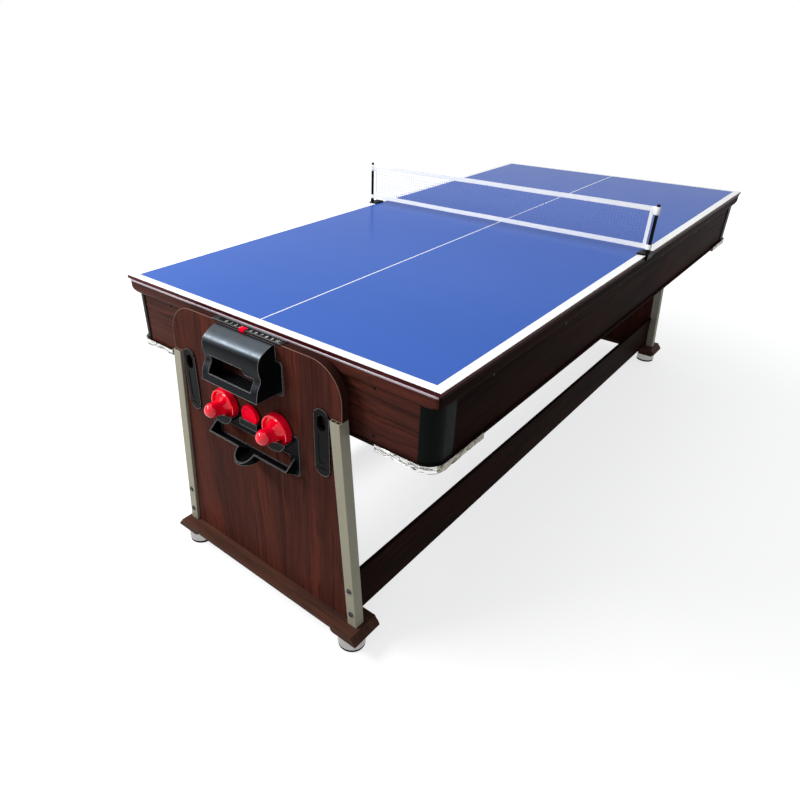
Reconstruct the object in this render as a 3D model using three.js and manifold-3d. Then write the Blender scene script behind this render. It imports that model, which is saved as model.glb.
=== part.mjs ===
// Rotating multi game table: a playing box that turns end over end between two end legs,
// covered by two tennis boards with a net, with a return box, score rail and mallet rack on the leg.
// Units are millimetres. X runs along the table, Y across it, Z up from the floor.

import * as THREE from 'three'
import { mergeVertices } from 'three/addons/utils/BufferGeometryUtils.js'
import Module from 'manifold-3d'

const wasm = await Module()
wasm.setup()

// Overall sizes
const tableLength = 2134
const tableWidth = 1024
const tableHeight = 813
const seat = 0.3 // gap between pieces that rest on or against each other
const overrun = 6 // how far a cutting solid runs past what it cuts
const coincidentShare = 0.01 // of the seat gap: outline points closer than this are one point

// Tennis boards
const boardThickness = 9
const seamGap = 0.4

// Playing box
const rimHeight = 39
const rimOverhang = 12
const rimWidth = 70
const rimInset = 1.5
const rimEdge = 3
const rimRecess = 2
const rimNoseDrop = 24
const rimTopRadius = 12
const rimInnerRadius = 1
const apronHeight = 135
const apronThickness = 18
const cornerRadius = 35
const capThickness = 2.5
const capEndLap = 2
const capSideLap = 31
const lowerRailHeight = 9
const lowerRailProud = 6
const lowerRailWidth = 72
const lowerRailEdge = 2.5
const bedThickness = 10
const playfieldRecess = 34
const trimThickness = 1.6
const trimSkirt = 11
const trimWidth = 62
const trimLongLeg = 190
const trimShortLeg = 152
const cornerSteps = 6 // facets of every rounded corner of the box
const curveSegments = 6 // facets of every drawn curve
const smallSteps = 3 // facets of a small rounded corner
const noseSteps = 5 // facets of the rounded face under the rim

// Pool cushions and pockets on the underside
const cushionReach = 24
const cushionNose = 9
const cushionUndercut = 12
const pocketRadius = 34
const cornerPocketInset = 76
const sidePocketInset = 66

// Pivot
const hubFlangeRadius = 42
const hubFlangeThickness = 5
const hubShoulderRadius = 22
const hubShaftRadius = 12
const shaftClearance = 0.35
const shaftEndCover = 5

// End leg panel
const endClearance = 3
const panelThickness = 22
const panelDrop = 14
const panelHalfWidth = 291
const panelCornerRadius = 86

// Leg posts
const postDrop = 143
const postWidth = 29
const postDepth = 31
const postProud = 9
const postWall = 2
const postCorner = 1.6
const postFootSpread = 47

// Foot rails
const footRailTop = 75
const footRailMiddle = 13
const footBlockDepth = 25
const footBlockLength = 72
const footBlockCurve = 14
const footRailOver = 9
const footFlare = 15
const footUnderHeight = 12
const footUnderInset = 10
const flareBowShares = [0.1, 0.4, 0.85, 0.4]
const footRailFront = 42
const footRailBack = 36

// Levelling feet
const footInset = 33
const footOffset = 9
const footCupRadius = 37.5
const footCupTopRadius = 36
const footCupShoulder = 4
const footCupBottomRadius = 32
const padRadius = 36.5
const padThickness = 4
const stemRadius = 5
const stemLength = 20
const stemClearance = 0.4
const stemEndGap = 2

// Stretchers
const stretcherTop = 213
const stretcherThickness = 12
const stretcherOut = 13

// Lock plates
const lockWidth = 45
const lockHeight = 178
const lockThickness = 3.2
const lockInset = 58
const lockTopDrop = 128
const lockHoleWidth = 25
const lockHoleHeight = 40
const lockHoleDrop = 36
const lockPocketDepth = 14
const lockGrooveWidth = 22
const lockGrooveHeight = 84
const lockGrooveDepth = 1.2
const lockSlotWidth = 22
const lockSlotHeight = 3
const lockSlotRise = 20

// Return box
const boxHalfWidth = 96
const boxWall = 2.5
const boxTopDrop = 18
const boxDepth = 66
const boxDrop = 123
const boxDepthShares = [0.16, 0.31, 0.46, 0.63, 0.74, 0.8, 0.81, 0.785, 0.735, 0.745, 0.82, 0.9, 0.96, 1]
const boxDropShares = [0, 0.025, 0.06, 0.11, 0.17, 0.26, 0.36, 0.46, 0.55, 0.62, 0.69, 0.76, 0.87, 1]
const windowHalfWidth = 75
const windowTopDrop = 60
const windowBottomDrop = 104
const windowTabDrop = 13
const windowTabWidth = 38
const windowTabCorner = 6
const boxEarWidth = 21
const boxEarHeight = 85
const boxEarThickness = 3
const boxEarCorner = 8

// Score rail and its slider
const scoreLength = 232
const scoreWidth = 22
const scoreLap = 3
const scoreBase = 1.6
const scoreLip = 1.6
const scoreLipWidth = 2.6
const scoreHole = 7
const scoreHoleInset = 10
const sliderLength = 17
const sliderWall = 1.8
const sliderReach = 11
const sliderPlace = 8
const sliderGap = 0.4
const sliderHook = 2

// Accessory rack
const rackHalfWidth = 158
const rackTopDrop = 236
const rackHeight = 113
const rackPlate = 3
const rackCorner = 12
const rackWindowHalfWidth = 128
const rackWindowTop = 60
const rackWindowBottom = 12
const malletSpacing = 94
const malletDrop = 236
const pocketRimDrop = 255
const pocketDepth = 25
const pocketWall = 2.5
const pocketFit = 0.4
const pocketNotchRadius = 25
const pocketSteps = 24
const puckDrop = 234
const puckPocketRimDrop = 247
const puckPocketDepth = 16
const trayHalfWidth = 143
const trayDepth = 35
const trayWall = 2.4
const trayBackRise = 51
const trayFrontRise = 24
const spoutRadius = 31
const spoutDepth = 64
const spoutTipRise = 4

// Mallets and puck
const malletRadius = 44
const malletRimRadius = 42
const malletRimHeight = 17
const malletRimWidth = 3.5
const malletDishHeight = 9
const malletDishRadius = 33
const malletNeckRadius = 19
const malletNeckHeight = 26
const malletKnobRadius = 20
const malletHeight = 68
const malletUnderside = 3
const puckRadius = 28
const puckThickness = 11
const puckRecess = 1.5
const puckRecessRadius = 20
const puckEdge = 1.2

// Net and its posts
const netInset = 9
const netBottom = 18
const netTop = 138
const tapeHeight = 13.5
const tapeEnd = 10
const tapeThickness = 2
const netColumns = 40
const netRows = 5
const cordWidth = 1.6
const cordThickness = 1
const topLoopHeight = 22
const loopWall = 1.6
const loopClearance = 0.5
const loopSteps = 14
const netPostRadius = 4.8
const netPostOut = 1
const netPostTop = 144
const netPostCapHeight = 3
const netPostNeck = 3.9
const netBossRadius = 6
const netBossTop = 16.5
const bracketLength = 44
const bracketShift = 12
const bracketThickness = 5
const bracketReach = 26
const bracketProud = 7
const bracketLipDrop = 12
const bracketEdge = 1.5

// Places worked out from the sizes above
const boxHeight = rimHeight + apronHeight + lowerRailHeight
const pivotHeight = tableHeight - boardThickness - boxHeight / 2
const halfLength = tableLength / 2
const halfWidth = tableWidth / 2
const netHalfLength = halfWidth - netInset
const boxTop = boxHeight / 2
const rimBottom = boxTop - rimHeight
const lowerRailTop = rimBottom - apronHeight
const apronHalfLength = halfLength - rimOverhang
const apronHalfWidth = halfWidth - rimOverhang
const panelInner = halfLength + endClearance
const panelOuter = panelInner + panelThickness
const panelTop = tableHeight - panelDrop
const postTop = tableHeight - postDrop
const panelShoulder = postTop + seat
const panelMiddle = (panelInner + panelOuter) / 2
const postInner = panelOuter + postProud - postDepth
const footRailHalfLength = panelHalfWidth + postFootSpread + footRailOver
const footRailInner = panelInner - footRailBack
const footRailOuter = panelOuter + footRailFront
const footRailBottom = footRailTop - footBlockDepth
const footUnderside = footRailBottom - footUnderHeight
const footCentre = panelMiddle + footOffset
const footSpacing = footRailHalfLength - footInset
const stretcherSpread = panelHalfWidth + stretcherOut
const wallFace = panelOuter + seat
const lockSpacing = panelHalfWidth - lockInset
const lockHoleCentre = tableHeight - lockTopDrop - lockHoleDrop
const postLean = postFootSpread / (postTop - footRailTop)

const materials = {
  blue: { color: 0x3b5fc4, roughness: 0.35, metalness: 0 },
  walnut: { color: 0x3d1f1a, roughness: 0.4, metalness: 0 },
  blackPlastic: { color: 0x111213, roughness: 0.35, metalness: 0 },
  redPlastic: { color: 0xd4142c, roughness: 0.25, metalness: 0 },
  aluminium: { color: 0xb9b29a, roughness: 0.3, metalness: 1 },
  chrome: { color: 0xd9dadd, roughness: 0.25, metalness: 1 },
  steel: { color: 0x8f9296, roughness: 0.35, metalness: 1 },
  rubber: { color: 0x0d0d0d, roughness: 0.8, metalness: 0 },
  playfield: { color: 0xe9ebee, roughness: 0.3, metalness: 0 },
  cloth: { color: 0x1c3f86, roughness: 0.95, metalness: 0 },
  netWhite: { color: 0xf2f2f0, roughness: 0.9, metalness: 0 },
}

function piece(name, geometry, finish) {
  const mesh = new THREE.Mesh(geometry, new THREE.MeshStandardMaterial(materials[finish]))
  mesh.name = name
  return mesh
}

// Booleans on closed meshes
function solid(geometry) {
  const bare = geometry.clone()
  bare.deleteAttribute('normal')
  bare.deleteAttribute('uv')
  const merged = mergeVertices(bare)
  const vertProperties = new Float32Array(merged.attributes.position.array)
  const triVerts = new Uint32Array(merged.index.array)
  return new wasm.Manifold(new wasm.Mesh({ numProp: 3, vertProperties, triVerts }))
}

function surface(manifold) {
  const mesh = manifold.getMesh()
  const geometry = new THREE.BufferGeometry()
  geometry.setAttribute('position', new THREE.BufferAttribute(mesh.vertProperties, 3))
  geometry.setIndex(new THREE.BufferAttribute(mesh.triVerts, 1))
  const flat = geometry.toNonIndexed()
  flat.computeVertexNormals()
  return flat
}

function join(...geometries) {
  return surface(geometries.map(solid).reduce((whole, next) => whole.add(next)))
}

function cut(geometry, ...tools) {
  return surface(tools.map(solid).reduce((whole, tool) => whole.subtract(tool), solid(geometry)))
}

// Prisms along each axis
function outline(points) {
  const apart = points.filter(([a, b], i) => {
    const [nextA, nextB] = points[(i + 1) % points.length]
    return Math.hypot(nextA - a, nextB - b) > seat * coincidentShare
  })
  return new THREE.Shape(apart.map(([a, b]) => new THREE.Vector2(a, b)))
}

function alongZ(shape, low, high) {
  const geometry = new THREE.ExtrudeGeometry(shape, { depth: high - low, bevelEnabled: false, curveSegments })
  return geometry.translate(0, 0, low)
}

// The outline is drawn in Y and Z
function alongX(shape, low, high) {
  const turn = new THREE.Matrix4().makeBasis(
    new THREE.Vector3(0, 1, 0),
    new THREE.Vector3(0, 0, 1),
    new THREE.Vector3(1, 0, 0),
  )
  return alongZ(shape, low, high).applyMatrix4(turn)
}

// The outline is drawn in X and Z
function alongY(shape, low, high) {
  const turn = new THREE.Matrix4().makeBasis(
    new THREE.Vector3(1, 0, 0),
    new THREE.Vector3(0, 0, 1),
    new THREE.Vector3(0, -1, 0),
  )
  return alongZ(shape, -high, -low).applyMatrix4(turn)
}

function block(lowX, highX, lowY, highY, lowZ, highZ) {
  const geometry = new THREE.BoxGeometry(highX - lowX, highY - lowY, highZ - lowZ)
  return geometry.translate((lowX + highX) / 2, (lowY + highY) / 2, (lowZ + highZ) / 2)
}

function roundedRectangle(low, high, bottom, top, radius, steps) {
  const corner = (a, b, turn) => arcPoints(a, b, radius, radius, turn, turn + Math.PI / 2, steps)
  return outline([
    ...corner(low + radius, bottom + radius, Math.PI),
    ...corner(high - radius, bottom + radius, Math.PI * 1.5),
    ...corner(high - radius, top - radius, 0),
    ...corner(low + radius, top - radius, Math.PI / 2),
  ])
}

function stadium(centreY, centreZ, width, height, steps) {
  const low = centreY - width / 2
  const bottom = centreZ - height / 2
  return roundedRectangle(low, low + width, bottom, bottom + height, width / 2, steps)
}

function lathe(points, segments) {
  return new THREE.LatheGeometry(points.map(([r, z]) => new THREE.Vector2(r, z)), segments)
}

// Turned piece standing on the Z axis
function turned(points, segments) {
  return lathe(points, segments).rotateX(Math.PI / 2)
}

function arcPoints(centreA, centreB, radiusA, radiusB, from, to, steps) {
  return Array.from({ length: steps + 1 }, (_, i) => {
    const angle = from + ((to - from) * i) / steps
    return [centreA + radiusA * Math.cos(angle), centreB + radiusB * Math.sin(angle)]
  })
}

// A profile of { in, z, radius } points swept round one side of a frame, mitred at both corners
function frameSide(profile, halfX, halfY, onLongSide) {
  const steps = cornerSteps / 2
  const half = onLongSide ? halfX : halfY
  const other = onLongSide ? halfY : halfX
  const stations = []
  const mitre = Math.PI / 4
  for (let i = 0; i <= steps; i++) stations.push({ side: -1, angle: mitre + (mitre * i) / steps })
  for (let i = steps; i >= 0; i--) stations.push({ side: 1, angle: mitre + (mitre * i) / steps })
  const trim = seat / 2 / Math.SQRT2
  const positions = []
  stations.forEach(({ side, angle }, index) => {
    const last = index === 0 || index === stations.length - 1
    for (const { inward, z, radius } of profile) {
      const along = half - inward - radius + radius * Math.cos(angle) - (last ? trim : 0)
      const across = other - inward - radius + radius * Math.sin(angle) - (last ? -trim : 0)
      positions.push([side * along, -across, z])
    }
  })
  const count = profile.length
  const indices = []
  for (let s = 0; s + 1 < stations.length; s++) {
    for (let p = 0; p < count; p++) {
      const next = (p + 1) % count
      const a = s * count + p
      const b = s * count + next
      indices.push(a, b, b + count, a, b + count, a + count)
    }
  }
  const face = profile.map(({ inward, z, radius }) => {
    return new THREE.Vector2(inward * Math.SQRT2 + radius * (Math.SQRT2 - 1), z)
  })
  const end = (stations.length - 1) * count
  for (const [a, b, c] of THREE.ShapeUtils.triangulateShape(face, [])) {
    indices.push(a, c, b, end + a, end + b, end + c)
  }
  const geometry = new THREE.BufferGeometry()
  geometry.setAttribute('position', new THREE.Float32BufferAttribute(positions.flat(), 3))
  geometry.setIndex(indices)
  if (!onLongSide) geometry.rotateZ(-Math.PI / 2)
  const flat = geometry.toNonIndexed()
  flat.computeVertexNormals()
  return flat
}

// A band round one corner of a rounded rectangle, drawn in X and Y
function cornerBand(signX, signY, outerX, outerY, radius, width, legX, legY) {
  const centreX = outerX - radius
  const centreY = outerY - radius
  const inner = Math.max(radius - width, 0)
  const outerArc = arcPoints(centreX, centreY, radius, radius, 0, Math.PI / 2, cornerSteps)
  const innerArc = inner > 0
    ? arcPoints(centreX, centreY, inner, inner, Math.PI / 2, 0, cornerSteps)
    : [[outerX - width, outerY - width]]
  const points = [
    [outerX - width, outerY - legY],
    [outerX, outerY - legY],
    ...outerArc,
    [outerX - legX, outerY],
    [outerX - legX, outerY - width],
    ...innerArc,
  ]
  return outline(points.map(([x, y]) => [signX * x, signY * y]))
}

// Playing box

function rimProfile() {
  const edgeLow = boxTop - rimRecess - rimEdge
  const edge = arcPoints(rimInset + rimEdge, edgeLow, rimEdge, rimEdge, Math.PI / 2, Math.PI, smallSteps)
  const nose = arcPoints(
    rimOverhang,
    boxTop - rimNoseDrop,
    rimOverhang - rimInset,
    rimHeight - rimNoseDrop,
    Math.PI,
    Math.PI * 1.5,
    noseSteps,
  )
  const grow = (cornerRadius - rimTopRadius) / noseSteps
  return [
    { inward: rimInset + rimEdge, z: boxTop, radius: rimTopRadius },
    ...edge.map(([inward, z]) => ({ inward, z, radius: rimTopRadius })),
    ...nose.map(([inward, z], i) => ({ inward, z, radius: rimTopRadius + grow * i })),
    { inward: rimWidth, z: rimBottom, radius: rimInnerRadius },
    { inward: rimWidth, z: boxTop, radius: rimInnerRadius },
  ]
}

function makeLowerRail() {
  const halfX = apronHalfLength + lowerRailProud
  const halfY = apronHalfWidth + lowerRailProud
  const bottom = lowerRailTop - lowerRailHeight
  const outer = (grow) => {
    return roundedRectangle(
      -halfX + grow,
      halfX - grow,
      -halfY + grow,
      halfY - grow,
      cornerRadius + lowerRailProud - grow,
      cornerSteps,
    )
  }
  const body = join(
    alongZ(outer(0), bottom + lowerRailEdge, lowerRailTop - lowerRailEdge),
    alongZ(outer(lowerRailEdge), bottom, lowerRailTop),
  )
  const innerX = halfX - lowerRailWidth
  const innerY = halfY - lowerRailWidth
  const opening = block(-innerX, innerX, -innerY, innerY, bottom - overrun, lowerRailTop + overrun)
  return cut(body, opening, ...pocketCutters(bottom - overrun, lowerRailTop + overrun))
}

function pocketCutter(low, high) {
  return turned([[0, low], [pocketRadius, low], [pocketRadius, high], [0, high]], 24)
}

// Six pocket holes of the pool side
function pocketCutters(low, high) {
  const places = [-1, 1].flatMap((signX) => [-1, 1].map((signY) => [
    signX * (apronHalfLength - cornerPocketInset),
    signY * (apronHalfWidth - cornerPocketInset),
  ]))
  for (const signY of [-1, 1]) places.push([0, signY * (apronHalfWidth - sidePocketInset)])
  return places.map(([x, y]) => pocketCutter(low, high).translate(x, y, 0))
}

// Bed of the pool side with its cushions
function makePoolBed(bedX, bedY) {
  const railBottom = lowerRailTop - lowerRailHeight
  const face = railBottom + playfieldRecess
  const bed = block(-bedX, bedX, -bedY, bedY, face, face + bedThickness)
  const outerX = apronHalfLength + lowerRailProud - lowerRailWidth - seat
  const outerY = apronHalfWidth + lowerRailProud - lowerRailWidth - seat
  const nose = railBottom + cushionNose
  const section = (outer, sign) => outline([
    [sign * outer, face + bedThickness / 2],
    [sign * outer, railBottom],
    [sign * (outer - cushionReach), nose],
    [sign * (outer - cushionUndercut), face + bedThickness / 2],
  ])
  const cushions = [-1, 1].flatMap((sign) => [
    alongX(section(outerY, sign), -outerX, outerX),
    alongY(section(outerX, sign), -outerY, outerY),
  ])
  const low = railBottom - overrun
  return cut(join(bed, ...cushions), ...pocketCutters(low, face + bedThickness + overrun))
}

function makeCornerCap(signX, signY) {
  const grow = seat + capThickness
  const radius = cornerRadius + grow
  const band = cornerBand(
    signX,
    signY,
    apronHalfLength + grow,
    apronHalfWidth + grow,
    radius,
    capThickness,
    radius + capSideLap,
    radius + capEndLap,
  )
  return alongZ(band, lowerRailTop + seat, rimBottom - seat)
}

function makeCornerTrim(signX, signY) {
  const grow = lowerRailProud + seat + trimThickness
  const outerX = apronHalfLength + grow
  const outerY = apronHalfWidth + grow
  const radius = cornerRadius + grow
  const bottom = lowerRailTop - lowerRailHeight - seat - trimThickness
  const skirt = cornerBand(signX, signY, outerX, outerY, radius, trimThickness, trimLongLeg, trimShortLeg)
  const flange = cornerBand(signX, signY, outerX, outerY, radius, trimWidth, trimLongLeg, trimShortLeg)
  const body = join(
    alongZ(skirt, bottom, bottom + trimSkirt),
    alongZ(flange, bottom, bottom + trimThickness),
  )
  const low = bottom - overrun
  const pocket = pocketCutter(low, low + overrun * 2)
  pocket.translate(
    signX * (apronHalfLength - cornerPocketInset),
    signY * (apronHalfWidth - cornerPocketInset),
    0,
  )
  return cut(body, pocket)
}

function makeHub() {
  const start = apronHalfLength + seat
  const flangeEnd = start + hubFlangeThickness
  const shoulderEnd = panelInner - seat
  const shaftEnd = panelOuter - shaftEndCover
  const profile = [
    [0, start],
    [hubFlangeRadius, start],
    [hubFlangeRadius, flangeEnd],
    [hubShoulderRadius, flangeEnd],
    [hubShoulderRadius, shoulderEnd],
    [hubShaftRadius, shoulderEnd],
    [hubShaftRadius, shaftEnd],
    [0, shaftEnd],
  ]
  return turned(profile, 28).rotateY(-Math.PI / 2)
}

function makeBox() {
  const box = new THREE.Group()
  box.position.z = pivotHeight
  const rim = (onLongSide) => frameSide(rimProfile(), halfLength, halfWidth, onLongSide)
  const rims = { rim_right: 0, rim_left: Math.PI }
  for (const [name, turn] of Object.entries(rims)) {
    const mesh = piece(name, rim(true), 'walnut')
    mesh.rotation.z = turn
    box.add(mesh)
  }
  for (const [name, turn] of Object.entries({ rim_front: 0, rim_rear: Math.PI })) {
    const mesh = piece(name, rim(false), 'walnut')
    mesh.rotation.z = turn
    box.add(mesh)
  }
  const apronLow = lowerRailTop + seat
  const apronHigh = rimBottom - seat
  const longEnd = apronHalfLength - cornerRadius
  const shortEnd = apronHalfWidth - cornerRadius
  for (const [side, sign] of [['left', 1], ['right', -1]]) {
    const board = block(-longEnd, longEnd, -apronThickness / 2, apronThickness / 2, apronLow, apronHigh)
    const mesh = piece(`apron_${side}`, board, 'walnut')
    mesh.position.y = sign * (apronHalfWidth - apronThickness / 2)
    box.add(mesh)
  }
  for (const [side, sign] of [['front', -1], ['rear', 1]]) {
    const board = block(-apronThickness / 2, apronThickness / 2, -shortEnd, shortEnd, apronLow, apronHigh)
    const mesh = piece(`apron_${side}`, board, 'walnut')
    mesh.position.x = sign * (apronHalfLength - apronThickness / 2)
    box.add(mesh)
  }
  for (const [end, signX] of [['front', -1], ['rear', 1]]) {
    for (const [side, signY] of [['left', 1], ['right', -1]]) {
      box.add(piece(`corner_cap_${end}_${side}`, makeCornerCap(signX, signY), 'blackPlastic'))
      box.add(piece(`corner_trim_${end}_${side}`, makeCornerTrim(signX, signY), 'chrome'))
    }
    const hub = piece(`pivot_hub_${end}`, makeHub(), 'steel')
    hub.rotation.z = end === 'front' ? 0 : Math.PI
    box.add(hub)
  }
  box.add(piece('bottom_frame', makeLowerRail(), 'walnut'))
  const bedX = apronHalfLength - apronThickness - seat
  const bedY = apronHalfWidth - apronThickness - seat
  const upperTop = rimBottom - seat
  const upper = block(-bedX, bedX, -bedY, bedY, upperTop - bedThickness, upperTop)
  box.add(piece('hockey_bed', upper, 'playfield'))
  box.add(piece('pool_bed', makePoolBed(bedX, bedY), 'cloth'))
  return box
}

// Tennis boards

function makeBoards() {
  const boards = new THREE.Group()
  boards.position.z = tableHeight - boardThickness / 2
  const length = halfLength - seamGap / 2
  for (const [end, sign] of [['front', -1], ['rear', 1]]) {
    const board = new THREE.BoxGeometry(length, tableWidth, boardThickness - seat)
    const mesh = piece(`top_board_${end}`, board.translate(0, 0, seat / 2), 'blue')
    mesh.position.x = sign * (seamGap / 2 + length / 2)
    boards.add(mesh)
  }
  return boards
}

// Net and its posts; heights from the top of the boards

function circle(radius, steps) {
  return outline(arcPoints(0, 0, radius, radius, 0, Math.PI * 2, steps))
}

function ring(radius, wall, low, high) {
  const shape = circle(radius + wall, loopSteps)
  shape.holes.push(circle(radius, loopSteps))
  return alongZ(shape, low, high)
}

function makeNet() {
  const low = netBottom + tapeHeight
  const high = netTop - tapeHeight
  const half = netHalfLength - tapeEnd
  const cord = cordWidth / 2
  const thick = cordThickness / 2
  const upright = (i) => {
    const y = -half + (half * 2 * i) / netColumns
    return block(-thick, thick, y - cord, y + cord, low - cord, high + cord)
  }
  const level = (i) => {
    const z = low + ((high - low) * i) / netRows
    return block(-thick, thick, -half - cord, half + cord, z - cord, z + cord)
  }
  const cords = [
    ...Array.from({ length: netColumns - 1 }, (_, i) => upright(i + 1)),
    ...Array.from({ length: netRows - 1 }, (_, i) => level(i + 1)),
  ]
  const frame = outline([
    [-netHalfLength, netBottom],
    [netHalfLength, netBottom],
    [netHalfLength, netTop],
    [-netHalfLength, netTop],
  ])
  frame.holes.push(outline([[-half, low], [-half, high], [half, high], [half, low]]))
  const loopRadius = netPostRadius + loopClearance
  const place = halfWidth + netPostOut
  const loops = [-1, 1].flatMap((sign) => {
    const spans = [[netTop - topLoopHeight, netTop], [netBottom, netBottom + tapeHeight]]
    return spans.flatMap(([bottom, top]) => {
      const near = netHalfLength - tapeEnd / 2
      const far = place - loopRadius - loopWall / 2
      const tab = block(
        -tapeThickness / 2,
        tapeThickness / 2,
        Math.min(sign * near, sign * far),
        Math.max(sign * near, sign * far),
        bottom,
        top,
      )
      return [tab, ring(loopRadius, loopWall, bottom, top).translate(0, sign * place, 0)]
    })
  })
  return join(alongX(frame, -tapeThickness / 2, tapeThickness / 2), ...cords, ...loops)
}

// Post on an angle bracket that laps over the edge of the boards
function makeNetPost(sign) {
  const plateTop = seat + bracketThickness
  const lipInner = halfWidth + seat
  const lipOuter = halfWidth + bracketProud
  const section = [
    [halfWidth - bracketReach, seat],
    [lipInner, seat],
    [lipInner, -bracketLipDrop],
    [lipOuter - bracketEdge, -bracketLipDrop],
    [lipOuter, bracketEdge - bracketLipDrop],
    [lipOuter, plateTop - bracketEdge],
    [lipOuter - bracketEdge, plateTop],
    [halfWidth - bracketReach + bracketEdge, plateTop],
    [halfWidth - bracketReach, plateTop - bracketEdge],
  ]
  const bracket = alongX(
    outline(section.map(([y, z]) => [sign * y, z])),
    bracketShift - bracketLength / 2,
    bracketShift + bracketLength / 2,
  )
  const post = turned([
    [0, plateTop / 2],
    [netBossRadius, plateTop / 2],
    [netBossRadius, netBossTop - netPostRadius / 4],
    [netPostRadius, netBossTop],
    [netPostRadius, netPostTop - netPostCapHeight],
    [netPostNeck, netPostTop - netPostCapHeight],
    [netPostNeck, netPostTop - netPostCapHeight / 2],
    [netPostRadius, netPostTop - netPostCapHeight / 2],
    [netPostRadius, netPostTop],
    [0, netPostTop],
  ], 20)
  return join(bracket, post.translate(0, sign * (halfWidth + netPostOut), 0))
}

function makeNetSet() {
  const set = new THREE.Group()
  set.position.z = tableHeight
  set.add(piece('net', makeNet(), 'netWhite'))
  for (const [side, sign] of [['left', 1], ['right', -1]]) {
    set.add(piece(`net_post_${side}`, makeNetPost(sign), 'blackPlastic'))
  }
  return set
}

// End leg, drawn with the table's end on its +X side

function makeEndPanel() {
  const postEdge = panelHalfWidth - postWidth - seat
  const footEdge = postEdge + postLean * (postTop - footRailTop)
  const bottom = footRailTop + seat
  const corner = (from, to, sign) => {
    const centre = sign * (panelHalfWidth - panelCornerRadius)
    return arcPoints(centre, panelTop - panelCornerRadius, panelCornerRadius, panelCornerRadius, from, to, 9)
  }
  const shape = outline([
    [-footEdge, bottom],
    [footEdge, bottom],
    [postEdge, panelShoulder],
    [panelHalfWidth, panelShoulder],
    ...corner(0, Math.PI / 2, 1),
    ...corner(Math.PI / 2, Math.PI, -1),
    [-panelHalfWidth, panelShoulder],
    [-postEdge, panelShoulder],
  ])
  const board = alongX(shape, panelInner, panelOuter)
  const boreEnd = panelOuter - shaftEndCover + seat
  const bore = new THREE.CylinderGeometry(
    hubShaftRadius + shaftClearance,
    hubShaftRadius + shaftClearance,
    boreEnd - panelInner + overrun,
    28,
  )
  bore.rotateZ(Math.PI / 2)
  bore.translate((boreEnd + panelInner - overrun) / 2, 0, pivotHeight)
  const pockets = [-1, 1].map((sign) => {
    const hole = stadium(sign * lockSpacing, lockHoleCentre, lockHoleWidth, lockHoleHeight, cornerSteps)
    return alongX(hole, panelOuter - lockPocketDepth, panelOuter + overrun)
  })
  return cut(board, bore, ...pockets)
}

// Hollow post with a web down its middle, leaning outwards towards the foot
function makePost(sign) {
  const section = roundedRectangle(
    -postDepth / 2,
    postDepth / 2,
    -postWidth / 2,
    postWidth / 2,
    postCorner,
    smallSteps,
  )
  const inner = postDepth / 2 - postWall
  for (const half of [-1, 1]) {
    const near = half * postWall / 2
    const far = half * (postWidth / 2 - postWall)
    const low = Math.min(near, far)
    const high = Math.max(near, far)
    section.holes.push(outline([[-inner, low], [-inner, high], [inner, high], [inner, low]]))
  }
  const post = alongZ(section, footRailTop + seat - postTop, 0)
  post.applyMatrix4(new THREE.Matrix4().makeShear(0, 0, 0, 0, 0, -sign * postLean))
  const x = postInner + postDepth / 2
  return post.translate(x, sign * (panelHalfWidth - postWidth / 2), postTop)
}

function makeFootRail() {
  const shape = new THREE.Shape()
  const blockInner = footRailHalfLength + footFlare - footBlockLength
  const archInner = blockInner - footBlockCurve
  const middle = footRailTop - footRailMiddle
  const flareEnd = footRailHalfLength + footFlare
  const [lowOut, lowRise, highOut, highRise] = flareBowShares
  shape.moveTo(-footRailHalfLength, footRailTop)
  shape.bezierCurveTo(
    -footRailHalfLength - footFlare * lowOut,
    footRailTop - footBlockDepth * lowRise,
    -footRailHalfLength - footFlare * highOut,
    footRailTop - footBlockDepth * highRise,
    -flareEnd,
    footRailBottom,
  )
  shape.lineTo(-blockInner, footRailBottom)
  shape.quadraticCurveTo(-archInner, footRailBottom, -archInner, middle)
  shape.lineTo(archInner, middle)
  shape.quadraticCurveTo(archInner, footRailBottom, blockInner, footRailBottom)
  shape.lineTo(flareEnd, footRailBottom)
  shape.bezierCurveTo(
    footRailHalfLength + footFlare * highOut,
    footRailTop - footBlockDepth * highRise,
    footRailHalfLength + footFlare * lowOut,
    footRailTop - footBlockDepth * lowRise,
    footRailHalfLength,
    footRailTop,
  )
  const rail = alongX(shape, footRailInner, footRailOuter)
  const unders = [[-flareEnd + footUnderInset, -blockInner], [blockInner, flareEnd - footUnderInset]]
  const blocks = unders.map(([low, high]) => block(
    footRailInner + footUnderInset,
    footRailOuter - footUnderInset,
    low,
    high,
    footUnderside,
    footRailBottom + footUnderInset,
  ))
  const boreTop = footUnderside + stemLength + stemEndGap
  const bores = [-1, 1].map((sign) => {
    const bore = turned([
      [0, footUnderside - overrun],
      [stemRadius + stemClearance, footUnderside - overrun],
      [stemRadius + stemClearance, boreTop],
      [0, boreTop],
    ], 16)
    return bore.translate(footCentre, sign * footSpacing, 0)
  })
  return cut(join(rail, ...blocks), ...bores)
}

function makeLeveller() {
  const top = footUnderside - seat
  const bottom = padThickness + seat
  return turned([
    [0, bottom],
    [footCupBottomRadius, bottom],
    [footCupRadius, bottom + footCupShoulder],
    [footCupRadius, bottom + footCupShoulder * 2],
    [footCupTopRadius, top - footCupShoulder / 4],
    [footCupTopRadius - footCupShoulder / 4, top],
    [stemRadius, top],
    [stemRadius, footUnderside + stemLength],
    [0, footUnderside + stemLength],
  ], 24)
}

function makeLevellerPad() {
  const edge = padThickness / 4
  return turned([[0, 0], [padRadius, 0], [padRadius, padThickness - edge],
    [padRadius - edge, padThickness], [0, padThickness]], 24)
}

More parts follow.
